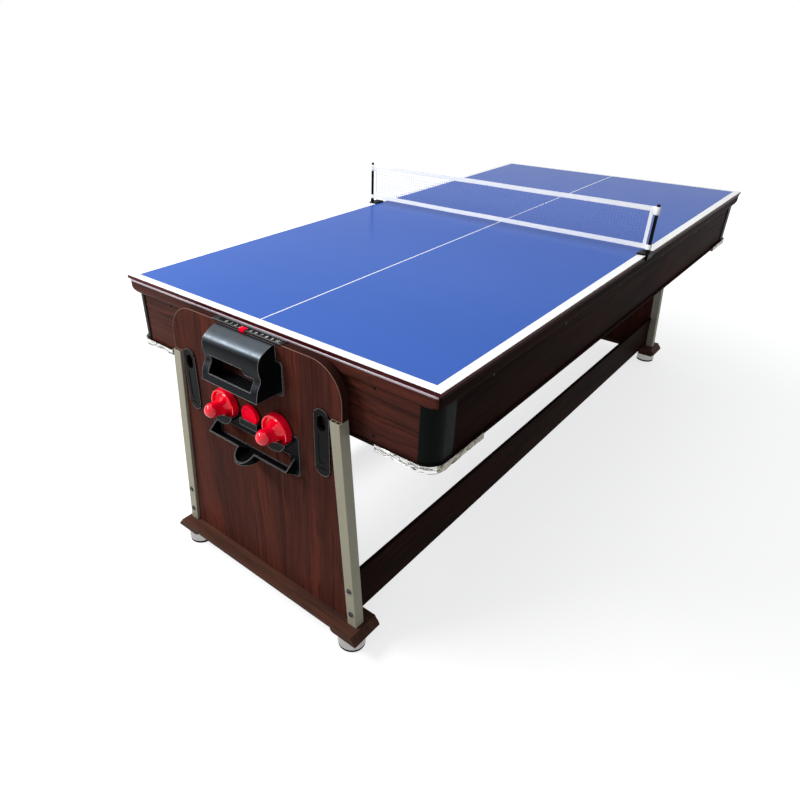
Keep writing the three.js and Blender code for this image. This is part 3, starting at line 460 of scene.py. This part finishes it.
def air_bed():
    """White laminate with its grid of air holes, drawn as dark dots that paint the shade inside them.
    """
    pitch, hole_radius = 0.0254, 0.0007
    finish = Finish("air_bed", 0.25)
    x, y, _ = finish.axes()
    squares = []
    for axis in (x, y):
        wrapped = finish.math("FRACT", finish.math("DIVIDE", axis, pitch))
        near = finish.math("MULTIPLY", finish.math("SUBTRACT", wrapped, 0.5), pitch)
        squares.append(finish.math("MULTIPLY", near, near))
    # Dark dots where the holes are: painted shade.
    hole = finish.math("LESS_THAN", finish.math("ADD", *squares), hole_radius ** 2)
    cloud = finish.noise(finish.place, 4.0, 3.0)
    white = finish.mix(cloud, (0.72, 0.74, 0.76), (0.8, 0.82, 0.84))
    finish.colour(finish.mix(hole, white, (0.01, 0.01, 0.01)))
    finish.bump(finish.noise(finish.place, 500.0, 2.0), 0.03, 0.0002)
    return finish.material


def canvas(name, colour):
    """Woven tape with a row of stitches along each edge of the net's long tapes."""
    weave_rate, stitches_per_metre, stitch_share, half_thread = 3200.0, 310.0, 0.68, 0.00045
    finish = Finish(name, 0.9, Sheen_Weight=0.15, Specular_IOR_Level=0.2)
    _, y, z = finish.axes()
    waves = [finish.math("SINE", finish.math("MULTIPLY", axis, weave_rate)) for axis in (y, z)]
    threads = finish.math("MULTIPLY", *waves)
    row = 0.0
    for height in STITCH_ROWS:
        off = finish.math("ABSOLUTE", finish.math("SUBTRACT", z, TOP + height))
        row = finish.math("MAXIMUM", row, finish.math("LESS_THAN", off, half_thread))
    step = finish.math("FRACT", finish.math("MULTIPLY", y, stitches_per_metre))
    stitch = finish.math("MULTIPLY", row, finish.math("LESS_THAN", step, stitch_share))
    tone = finish.mix(finish.noise(finish.place, 30.0), scaled(colour, 0.9), colour)
    finish.colour(finish.mix(stitch, tone, scaled(colour, 0.78, 0.78, 0.8)))
    relief = finish.math("SUBTRACT", finish.math("MULTIPLY", threads, 0.4), stitch)
    finish.bump(relief, 0.3, 0.0005)
    return finish.material


RED = (0.98, 0.0005, 0.024)
MATERIALS = {
    "board": board_paint(),
    "board_edge": board_edge(),
    # The long sides, stretchers and bottom frame take a copy of the end wood painted much darker,
    # with almost no reflection: painted shade.
    "wood_side": wood("wood_side", "X", (0.019, 0.0088, 0.0068), 0.38, 0.002),
    "wood_end": wood(
        "wood_end", "Y", (0.06, 0.0185, 0.0135), 0.34, 0.025, (0.31, 0.7, 0.2), 1.1,
    ),
    "panel": wood(
        "wood_panel", "Z", (0.067, 0.021, 0.0155), 0.38, 0.01, (0.13, 0.2, 0.5), 0.9,
        edge=(0.36, 0.2, 0.14),
    ),
    "foot": wood("wood_foot", "Y", (0.066, 0.031, 0.022), 0.4, 0.02, (0.9, 0.1, 0.4), 0.8),
    # Rim bead: its pale pink colour paints the bright highlight line along the ends, and its strong
    # reflection is real gloss. The dark copy for the long sides is painted shade.
    "bead": plastic(
        "lacquer_bead", (0.45, 0.37, 0.43), 0.3, 0.0, 900.0, 0.3, Specular_IOR_Level=1.0,
    ),
    "bead_side": plastic(
        "lacquer_bead_side", (0.022, 0.01, 0.009), 0.3, 0.0, 900.0, 0.3, Specular_IOR_Level=0.01,
    ),
    "black": plastic("black_moulding", (0.0035, 0.0038, 0.0042), 0.42, Specular_IOR_Level=0.05),
    "black_matt": plastic("black_matt", (0.0036, 0.0045, 0.0043), 0.42, Specular_IOR_Level=0.035),
    "hood": hood(),
    # Grey glossy lines on the black mouldings' edges: a painted highlight.
    "edge_highlight_lines": plastic("black_edge", (0.1, 0.1, 0.105), 0.24, 0.02, Specular_IOR_Level=1.0),
    # Light wood colour for the line along the panel's edge: a painted highlight.
    "wood_edge": plastic(
        "wood_edge", (0.3, 0.16, 0.115), 0.4, 0.05, 500.0, 0.5, Specular_IOR_Level=0.1,
    ),
    "red": plastic(
        "red_moulding", RED, 0.3, 0.02, 900.0, 0.05,
        Coat_Weight=0.8, Coat_Roughness=0.07, Specular_IOR_Level=0.05,
    ),
    "red_flat": plastic("red_flat", RED, 0.5, 0.05, 900.0, 0.05, Specular_IOR_Level=0.03),
    "aluminium": brushed(
        "post_aluminium", (0.36, 0.34, 0.26), "Z", 0.46, 0.12, Specular_IOR_Level=0.06,
    ),
    "steel": brushed("hub_steel", (0.36, 0.36, 0.37), "X", 0.3),
    "silver": brushed("leveller_silver", (0.4, 0.39, 0.38), "Z", 0.24),
    "trim": foil("trim_chrome", (0.66, 0.67, 0.69), (0.4, 0.4, 0.4), 0.2, 0.95),
    "film": foil("trim_film", (0.95, 0.95, 0.93), (0.1, 0.095, 0.085), 0.18, 0.7),
    # Darker, olive copy of the film for the long sides: painted shade.
    "film_shaded_side": foil("trim_film_painted_shade", (0.4, 0.375, 0.29), (0.035, 0.03, 0.02), 0.2, 0.7),
    "rubber": plastic(
        "pad_rubber", (0.006, 0.006, 0.006), 0.75, 0.3, 700.0, Specular_IOR_Level=0.2,
    ),
    "air_bed": air_bed(),
    "cloth": cloth("pool_cloth", (0.012, 0.055, 0.26)),
    "tape": canvas("net_tape", (0.98, 0.98, 0.96)),
    "cord": plastic("net_cord", (0.12, 0.21, 0.65), 0.8, 0.2, 2500.0, Specular_IOR_Level=0.05),
    "white_ink": plastic("white_ink", (0.78, 0.78, 0.76), 0.5, 0.05, 1200.0, 0.08),
    "pearl": plastic("sight_pearl", (0.72, 0.71, 0.66), 0.25, 0.02, 700.0, 0.2),
    "screw": plastic(
        "screw_black", (0.004, 0.0038, 0.0036), 0.25, 0.1, 1500.0, 0.2, Specular_IOR_Level=0.12,
    ),
    "bolt": brushed("bolt_black", (0.06, 0.06, 0.062), "X", 0.24, 0.8),
}


# Looks of the frame's nodes: in each table the first key that starts a node's name holds for it

LOOKS = {
    "top_board": "board",
    "rim_front": "wood_end",
    "rim_rear": "wood_end",
    "apron_front": "wood_end",
    "apron_rear": "wood_end",
    "rim": "wood_side",
    "apron": "wood_side",
    "stretcher": "wood_side",
    "bottom_frame": "wood_side",
    "end_panel": "panel",
    "return_box": "hood",
    "foot_rail": "foot",
    "leg_post": "aluminium",
    "leveller_pad": "rubber",
    "leveller": "silver",
    "corner_trim": "trim",
    "corner_cap": "black_matt",
    "pivot_hub": "steel",
    "mallet": "red",
    "puck": "red_flat",
    "score_slider": "red_flat",
    "hockey_bed": "air_bed",
    "pool_bed": "cloth",
    "net_post": "black",
    "net": "tape",
    "": "black",
}
# The walls of the end panels' lock holes take the black: painted shade in the holes.
SECOND_LOOKS = {"top_board": "board_edge", "end_panel": "black_matt", "": None}
EDGE_WIDTHS = {
    "top_board": 0.0, "net": 0.0, "rim": 0.0008, "end_panel": 0.0024, "foot_rail": 0.0015, "": 0.0005,
}


def look_up(table, name):
    """The value of the first key in the table that starts the name."""
    return next(value for start, value in table.items() if name.startswith(start))


def soften(obj, width):
    """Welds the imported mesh, rounds its sharp edges a little and shades it smooth between them."""
    sharp = math.radians(30)
    for polygon in obj.data.polygons:
        polygon.use_smooth = True
    weld = obj.modifiers.new("weld", "WELD")
    weld.merge_threshold = 0.00001
    if width:
        bevel = obj.modifiers.new("bevel", "BEVEL")
        bevel.width = width
        bevel.segments = 2
        bevel.limit_method = "ANGLE"
        bevel.angle_limit = sharp
    split = obj.modifiers.new("split", "EDGE_SPLIT")
    split.split_angle = sharp
    split.use_edge_sharp = False
    normals = obj.modifiers.new("normals", "WEIGHTED_NORMAL")
    normals.weight = 90
    normals.keep_sharp = True


def apart(name, polygon):
    """True for the faces with a node's second look: a board's edges, and the walls of the lock holes,
    painted black as shade.
    """
    if name.startswith("top_board"):
        return abs(polygon.normal.z) < 0.7
    centre = polygon.center
    in_hole = abs(abs(centre.y) - LOCK_HOLE_Y) < 0.025 and abs(centre.z - LOCK_HOLE_Z) < 0.03
    return in_hole and abs(polygon.normal.x) < 0.5


def dress_frame():
    for name, obj in NODES.items():
        second = look_up(SECOND_LOOKS, name)
        obj.data.materials.clear()
        obj.data.materials.append(MATERIALS[look_up(LOOKS, name)])
        if second:
            obj.data.materials.append(MATERIALS[second])
        for polygon in obj.data.polygons:
            polygon.material_index = 1 if second and apart(name, polygon) else 0
        soften(obj, look_up(EDGE_WIDTHS, name))


# Helpers for pieces

def from_bmesh(name, bm, material, body, smooth=True):
    """Turns bm into a piece that rides on the body."""
    mesh = bpy.data.meshes.new(name)
    bmesh.ops.recalc_face_normals(bm, faces=bm.faces)
    bm.to_mesh(mesh)
    bm.free()
    mesh.materials.append(MATERIALS[material])
    for polygon in mesh.polygons:
        polygon.use_smooth = smooth
    obj = bpy.data.objects.new(name, mesh)
    SCENE.collection.objects.link(obj)
    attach(obj, body)
    if smooth:
        split = obj.modifiers.new("split", "EDGE_SPLIT")
        split.split_angle = math.radians(35)
    return obj


def square_to(axis):
    """The axis and two directions square to it and to each other, all of unit length."""
    axis = Vector(axis).normalized()
    side = axis.orthogonal().normalized()
    return axis, side, axis.cross(side)


def circle(centre, side, other, radius, count, start=0.0):
    """Points of a circle in the plane of side and other; start is a share of one step."""
    angles = (2 * math.pi * (i + start) / count for i in range(count))
    return [centre + (side * math.cos(a) + other * math.sin(a)) * radius for a in angles]


def turned_profile(bm, profile, place, axis, segments=24):
    """Adds a turned skin: profile is (radius, height) pairs along axis; the last radius may be 0."""
    axis, side, other = square_to(axis)
    rings = []
    for radius, height in profile:
        centre = Vector(place) + axis * height
        points = circle(centre, side, other, radius, segments) if radius else [centre]
        rings.append([bm.verts.new(point) for point in points])
    for low, high in zip(rings, rings[1:]):
        for i in range(segments):
            j = (i + 1) % segments
            if len(high) == 1:
                bm.faces.new((low[i], high[0], low[j]))
            else:
                bm.faces.new((low[i], high[i], high[j], low[j]))


def swept(bm, rings):
    """Joins rings of the same number of points into a skin with closed ends."""
    loops = [[bm.verts.new(point) for point in ring] for ring in rings]
    for low, high in zip(loops, loops[1:]):
        for i in range(len(low)):
            j = (i + 1) % len(low)
            bm.faces.new((low[i], low[j], high[j], high[i]))
    bm.faces.new(tuple(reversed(loops[0])))
    bm.faces.new(tuple(loops[-1]))


def travel(spine):
    """Each point of a path with the direction in which the path goes there."""
    points = [Vector(point) for point in spine]
    ends = [points[0]] + points + [points[-1]]
    for before, point, after in zip(ends, points, ends[2:]):
        yield point, (after - before).normalized()


# Round a tape's section, as shares of its half width and half thickness
TAPE_SECTION = (
    (-1, -0.5), (-0.96, -0.9), (0, -1), (0.96, -0.9), (1, -0.5),
    (1, 0.5), (0.96, 0.9), (0, 1), (-0.96, 0.9), (-1, 0.5),
)


def strip(bm, spine, across, half_width, half_thick):
    """A flat tape with rounded edges that follows spine; across is the direction of its width."""
    across = Vector(across)
    rings = []
    for point, along in travel(spine):
        normal = along.cross(across)
        rings.append([
            point + across * (half_width * a) + normal * (half_thick * b) for a, b in TAPE_SECTION
        ])
    swept(bm, rings)


def thread(bm, spine, radius):
    """A thin cord with four sides that follows spine, which lies nearly square to X."""
    rings = []
    for point, along in travel(spine):
        side = along.cross(Vector((1, 0, 0))).normalized()
        rings.append(circle(point, side, along.cross(side), radius, 4, 0.5))
    swept(bm, rings)


# Screws, bolts and numbers

# Outlines as (radius, height), the screw's as shares of its radius and the bolt's in metres
PAN_HEAD = ((1, 0.18), (0.86, 0.42), (0.55, 0.56), (0.3, 0.6), (0.12, 0.1), (0, 0.06))
BOLT_HEAD = (
    (0.0072, -0.0003), (0.0072, 0.0009), (0.0066, 0.0026), (0.0045, 0.0036),
    (0.0026, 0.0037), (0.0024, 0.0012), (0, 0.0012),
)


def screw_head(bm, place, axis, radius):
    """A pan head with a cross recess."""
    axis, side, other = square_to(axis)
    seat = (radius, -0.0002)
    head = [(radius * a, radius * b) for a, b in PAN_HEAD]
    turned_profile(bm, [seat, *head], place, axis, 20)
    half, thin, rise = radius * 0.55, radius * 0.09, radius * 0.61
    for spin in (side, other):
        across = axis.cross(spin)
        bm.faces.new([
            bm.verts.new(Vector(place) + spin * a + across * b + axis * rise)
            for a, b in ((-half, -thin), (half, -thin), (half, thin), (-half, thin))
        ])


def make_screws():
    """Black pan heads in the aprons, and two on each bracket of the net."""
    upper, lower = TOP - 0.0525, TOP - 0.168
    along_side = (-0.846, -0.496, -0.142, 0.206, 0.556, 0.905)
    end_y, apron_radius = 0.347, 0.0037
    bracket_xs, bracket_y, bracket_z, bracket_radius = (0.015, 0.027), 0.4985, TOP + 0.0053, 0.0034
    bm = bmesh.new()
    for sign in SIDES.values():
        for x in along_side:
            screw_head(bm, (x * -sign, sign * APRON_Y, upper), (0, sign, 0), apron_radius)
        for x in bracket_xs:
            screw_head(bm, (x, sign * bracket_y, bracket_z), (0, 0, 1), bracket_radius)
    for sign in ENDS.values():
        for y in (-end_y, end_y):
            for z in (upper, lower):
                screw_head(bm, (sign * APRON_X, y, z), (sign, 0, 0), apron_radius)
    from_bmesh("apron_screws", bm, "screw", "playing_box")


def make_bolts():
    """Two black bolt heads on each leg post."""
    post_x = 1.1014
    upper, lower = (0.315, TOP - 0.62), (0.3212, TOP - 0.697)
    bm = bmesh.new()
    for end in ENDS.values():
        for side in SIDES.values():
            for y, z in (upper, lower):
                turned_profile(bm, BOLT_HEAD, (end * post_x, side * y, z), (end, 0, 0))
    from_bmesh("post_bolts", bm, "bolt", "leg_frame")


def make_numbers():
    """White numbers 0 to 10 on both score rails."""
    pitch, off_middle, sunk, half_thick = 0.0172, 0.011, 0.0016, 0.00008
    for end, sign in ENDS.items():
        low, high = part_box(f"score_rail_{end}")
        for i in range(11):
            text = bpy.data.curves.new(f"score_{end}_{i}", "FONT")
            text.body = str(i)
            text.size = 0.0125
            text.align_x = "CENTER"
            text.align_y = "CENTER"
            text.extrude = half_thick
            text.materials.append(MATERIALS["white_ink"])
            obj = bpy.data.objects.new(f"score_{end}_{i}", text)
            SCENE.collection.objects.link(obj)
            y = (i - 5) * pitch + off_middle
            obj.location = ((low.x + high.x) / 2, sign * y, high.z - sunk + 0.00009)
            obj.rotation_euler = (0, 0, math.pi / 2 * sign)
            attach(obj, "leg_frame")


# Net

def make_cords(half_width, low, high):
    """Cord net with square openings, its threads a little out of true."""
    columns, rows, radius, tuck = 106, 10, 0.0004, 0.001
    ys = [-half_width + half_width * 2 * i / columns for i in range(columns + 1)]
    zs = [low + (high - low) * i / rows for i in range(rows + 1)]

    def place(y, z):
        wave = 0.0004 * math.sin(y * 37 + z * 61)
        return (wave, y + 0.0005 * math.sin(z * 90 + y * 13), z + 0.0006 * math.sin(y * 29))

    bm = bmesh.new()
    for y in ys[1:-1]:
        thread(bm, [place(y, z) for z in (low - tuck, *zs[1:-1], high + tuck)], radius)
    for z in zs[1:-1]:
        thread(bm, [place(y, z) for y in ys], radius)
    return from_bmesh("net_cords", bm, "cord", "net", smooth=False)


def make_tapes():
    """Canvas tape on every edge of the net, with loops that go round the posts."""
    half_length, steps = 0.503, 140
    end_y, end_low, end_height, end_steps = 0.498, 0.0185, 0.119, 24
    post_y, loop_radius, first_turn, whole_turn, turns = 0.513, 0.0061, 218, 256, 26
    bm = bmesh.new()
    for bottom, top in (LOWER_TAPE, UPPER_TAPE):
        spine = []
        for i in range(steps + 1):
            y = -half_length + half_length * 2 * i / steps
            sag = 0.0003 * math.sin(y * 17 + top * 50)
            spine.append((0.00025 * math.sin(y * 41), y, TOP + (bottom + top) / 2 + sag))
        strip(bm, spine, (0, 0, 1), (top - bottom) / 2, 0.001)
    angles = [math.radians(first_turn - whole_turn * i / turns) for i in range(turns + 1)]
    arc = [(loop_radius * math.cos(a), post_y + loop_radius * math.sin(a)) for a in angles]
    leading, trailing = [(-0.0009, 0.4975), (-0.0011, 0.503)], [(0.0011, 0.503), (0.0009, 0.4975)]
    for sign in SIDES.values():
        spine = [
            (0, sign * end_y, TOP + end_low + end_height * i / end_steps)
            for i in range(end_steps + 1)
        ]
        strip(bm, spine, (0, 1, 0), 0.005, 0.0013)
        for bottom, top in (LOWER_LOOP, UPPER_LOOP):
            spine = [(x, sign * y, TOP + (bottom + top) / 2) for x, y in leading + arc + trailing]
            strip(bm, spine, (0, 0, 1), (top - bottom) / 2, 0.0007)
    return from_bmesh("net_tapes", bm, "tape", "net")


def make_net():
    """Cord net stretched between two posts, with a canvas tape on every edge."""
    cord_half, low, high = 0.493, TOP + LOWER_TAPE[1], TOP + UPPER_TAPE[0]
    cords = make_cords(cord_half, low, high)
    tapes = make_tapes()
    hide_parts("net")
    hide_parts("net")


# Edge lines and the rim's bead

def faces(edge, axis, sign=1):
    """True where one of the edge's faces looks out along the axis."""
    return any(face.normal[axis] * sign > 0.9 for face in edge.link_faces)


def edge_lines(name, node, wanted, radius, material):
    """Thin rounded lines on the sharp outer edges of a node, where wanted(edge) is true."""
    least_angle = math.radians(50)
    source = bmesh.new()
    source.from_mesh(NODES[node].data)
    bmesh.ops.remove_doubles(source, verts=source.verts, dist=0.00001)
    bm = bmesh.new()
    for edge in source.edges:
        outer = len(edge.link_faces) == 2 and edge.is_convex
        if not outer or edge.calc_face_angle(0) < least_angle or not wanted(edge):
            continue
        first, second = (v.co.copy() for v in edge.verts)
        along, side, other = square_to(second - first)
        lap = along * radius * 0.3
        swept(bm, [circle(point, side, other, radius, 8) for point in (first - lap, second + lap)])
    source.free()
    from_bmesh(name, bm, material, "leg_frame")


def make_edges():
    """Painted highlights: a light line where the panel's laminate meets its edge, and pale glossy
    lines on the edges of the mouldings.
    """
    panel_from, plate_corner, plate_side = 0.66, 0.012, 0.001

    # Pale lines that paint the highlights on the mouldings' edges.
    def gloss(name, node, wanted, radius=0.0005):
        edge_lines(name, node, wanted, radius, "edge_highlight_lines")

    for end, sign in ENDS.items():
        def on_panel(edge, sign=sign):
            return faces(edge, 0, sign) and all(v.co.z > panel_from for v in edge.verts)

        # Light lines on the panel's front edges: painted highlight.
        edge_lines(f"panel_edge_{end}", f"end_panel_{end}", on_panel, 0.0009, "wood_edge")
        gloss(f"rail_edge_{end}", f"score_rail_{end}", lambda edge: faces(edge, 2))
        gloss(f"hood_edge_{end}", f"return_box_{end}", lambda edge: True, 0.0006)
        for side in SIDES:
            low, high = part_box(f"lock_plate_{end}_{side}")

            def on_plate(edge, low=low, high=high, sign=sign):
                ys = [v.co.y for v in edge.verts]
                zs = [v.co.z for v in edge.verts]
                rounded = min(zs) > high.z - plate_corner or max(zs) < low.z + plate_corner
                straight = min(ys) > high.y - plate_side or max(ys) < low.y + plate_side
                return faces(edge, 0, sign) and (rounded or straight)

            gloss(f"lock_edge_{end}_{side}", f"lock_plate_{end}_{side}", on_plate)
    gloss("rack_edge", "accessory_rack", lambda edge: True)


def make_bead():
    """Lacquered bead on the rim, just under the edge of the boards. Its pale colour on the ends is a
    painted highlight; on the long sides it takes a dark copy, painted shade.
    """
    half_x, half_y, corner, middle_z = 1.065, 0.51, 0.0115, 0.8001
    out_reach, up_reach = 0.0019, 0.003
    corner_steps, section_steps = 12, 8
    path = []
    for turn, (sign_x, sign_y) in enumerate(((1, 1), (-1, 1), (-1, -1), (1, -1))):
        for i in range(corner_steps + 1):
            angle = math.pi / 2 * (turn + i / corner_steps)
            path.append((
                sign_x * (half_x - corner) + corner * math.cos(angle),
                sign_y * (half_y - corner) + corner * math.sin(angle),
            ))
    bm = bmesh.new()
    rings = []
    for i, (x, y) in enumerate(path):
        ahead, back = path[(i + 1) % len(path)], path[i - 1]
        out = Vector((ahead[1] - back[1], back[0] - ahead[0], 0)).normalized()
        ring = []
        for k in range(section_steps + 1):
            angle = math.radians(-60 + 180 * k / section_steps)
            rise = Vector((0, 0, up_reach * math.sin(angle)))
            point = Vector((x, y, middle_z)) + out * (out_reach * math.cos(angle)) + rise
            ring.append(bm.verts.new(point))
        rings.append(ring)
    for low, high in zip(rings, rings[1:] + rings[:1]):
        for k in range(section_steps):
            bm.faces.new((low[k], low[k + 1], high[k + 1], high[k]))
    bead = from_bmesh("rim_bead", bm, "bead", "playing_box")
    # Faces on the long sides take the dark copy: painted shade.
    bead.data.materials.append(MATERIALS["bead_side"])
    for polygon in bead.data.polygons:
        polygon.material_index = 1 if abs(polygon.center.y) > half_y - 0.004 else 0


# Pool side

def make_sleeves():
    """Black sleeves in the six pockets, open towards the middle, with a ring at their inner end."""
    outer, inner = POCKET_RADIUS - 0.0003, POCKET_RADIUS - 0.0025
    mouth, ledge, deep, ring_low, ring_high = 0.6214, 0.6224, 0.6645, 0.6652, 0.6722
    corner_spread, middle_spread, steps = 105, 92, 32
    section = (
        (outer, mouth), (outer, deep), (inner, deep), (inner, ledge), (inner + 0.0008, mouth),
    )
    ring = (
        (inner, ring_low), (inner, ring_high), (outer, ring_high), (outer, ring_low),
        (inner, ring_low),
    )
    bm = bmesh.new()
    for x, y in POCKETS:
        facing = math.atan2(math.copysign(1, y), math.copysign(1, x) if x else 0)
        spread = math.radians(corner_spread if x else middle_spread)
        rings = []
        for i in range(steps + 1):
            angle = facing - spread + 2 * spread * i / steps
            rings.append([(x + r * math.cos(angle), y + r * math.sin(angle), z) for r, z in section])
        swept(bm, rings)
        turned_profile(bm, ring, (x, y, 0), (0, 0, 1), 40)
    from_bmesh("pocket_sleeves", bm, "black_matt", "playing_box")


def make_sights():
    """Inlaid sights between the pockets."""
    gap = POCKET_X / 4
    side_y, end_x, end_gap = 0.478, 1.033, 0.212
    half_long, half_short, face_z, thick = 0.0085, 0.005, 0.6209, 0.0006
    outline = ((1, 0), (0.5, 0.5), (0, 1), (-0.5, 0.5), (-1, 0), (-0.5, -0.5), (0, -1), (0.5, -0.5))
    spots = [(gap * k, side * side_y) for k in (-3, -2, -1, 1, 2, 3) for side in (-1, 1)]
    spots += [(end * end_x, y) for end in (-1, 1) for y in (-end_gap, 0, end_gap)]
    bm = bmesh.new()
    for x, y in spots:
        swept(bm, [
            [(x + a * half_long, y + b * half_short, z) for a, b in outline]
            for z in (face_z, face_z + thick)
        ])
    from_bmesh("rail_sights", bm, "pearl", "playing_box")


# Film on the corner trims

def trim_path():
    """Points round a corner trim as (x, y, outward x, outward y), from its long side to its end."""
    step = 0.0022
    centre_x, centre_y = TRIM_X - TRIM_RADIUS, TRIM_Y - TRIM_RADIUS
    side_length, end_length = centre_x - TRIM_START_X, centre_y - TRIM_END_Y
    count = int(side_length / step)
    path = [(TRIM_START_X + side_length * i / count, TRIM_Y, 0.0, 1.0) for i in range(count)]
    count = int(TRIM_RADIUS * math.pi / 2 / step)
    for i in range(count):
        angle = math.pi / 2 * i / count
        out_x, out_y = math.sin(angle), math.cos(angle)
        path.append((centre_x + TRIM_RADIUS * out_x, centre_y + TRIM_RADIUS * out_y, out_x, out_y))
    count = int(end_length / step)
    path += [(TRIM_X, centre_y - end_length * i / count, 1.0, 0.0) for i in range(count + 1)]
    return path


def make_film(end, side):
    """Crinkled protective film round the bright corner trim, loose along both its edges."""
    sign_x, sign_y = ENDS[end], SIDES[side]
    top_z, bottom_z, droop, droop_reach = 0.6318, 0.6165, 0.0045, 0.16
    wall_steps, taut_from = 9, 11
    shift_x, shift_y = 5 if sign_x > 0 else 0, 9 if sign_y > 0 else 0
    bm = bmesh.new()
    grid = []
    for x, y, out_x, out_y in trim_path():
        near = max(0.0, 1 - math.hypot(x - TRIM_X, y - TRIM_Y) / droop_reach)
        top = top_z + 0.0012 * noise.noise(Vector((x, y, 3)) * 45)
        bottom = bottom_z - droop * near ** 1.5 + 0.0018 * noise.noise(Vector((x, y, 8)) * 38)
        section = [(0.0, top - (top - bottom) * k / wall_steps) for k in range(wall_steps + 1)]
        section += [(-0.003, bottom - 0.0008), (-0.008, 0.6178), (-0.014, 0.6174), (-0.02, 0.6172)]
        column = []
        for k, (inward, z) in enumerate(section):
            spot = Vector((x + shift_x, y + shift_y, z * 4.5 + (x + y) * 0.6))
            wide = noise.noise(spot * 26)
            ridge = 0.5 - abs(noise.noise(spot * 52))
            swell = (0.0008 * (wide + 0.35) + 0.0016 * ridge) * (1.0 if k < taut_from else 0.3)
            push = inward + max(0.0, swell)
            column.append(bm.verts.new((
                sign_x * (x + out_x * push), sign_y * (y + out_y * push), z + 0.0008 * wide,
            )))
        grid.append(column)
    for first, second in zip(grid, grid[1:]):
        for k in range(len(first) - 1):
            bm.faces.new((first[k], second[k], second[k + 1], first[k + 1]))
    film = from_bmesh(f"trim_film_{end}_{side}", bm, "film", "playing_box", smooth=False)
    # Faces on the long side take the darker copy: painted shade.
    film.data.materials.append(MATERIALS["film_shaded_side"])
    for polygon in film.data.polygons:
        polygon.material_index = 1 if abs(polygon.center.x) < TRIM_X - 0.02 else 0
    solid = film.modifiers.new("thickness", "SOLIDIFY")
    solid.thickness = 0.00015
    solid.offset = 1


make_camera()
make_world()
make_floor()
area_light("key", (-2.9, 2.25, 2.9), (-0.9, 0, 0.6), (2.6, 0.9), 150, (1, 0.99, 0.98))
area_light("fill", (-2.6, -3.2, 2.2), (0, 0, 0.5), (3, 3), 3, (0.96, 0.98, 1))
area_light("top", (-0.3, 0.5, 3.9), (0.4, 0, 0.85), (3.2, 3.2), 38)
dress_frame()
make_screws()
make_bolts()
make_numbers()
make_net()
make_bead()
make_edges()
make_sleeves()
make_sights()
for end in ENDS:
    for side in SIDES:
        make_film(end, side)
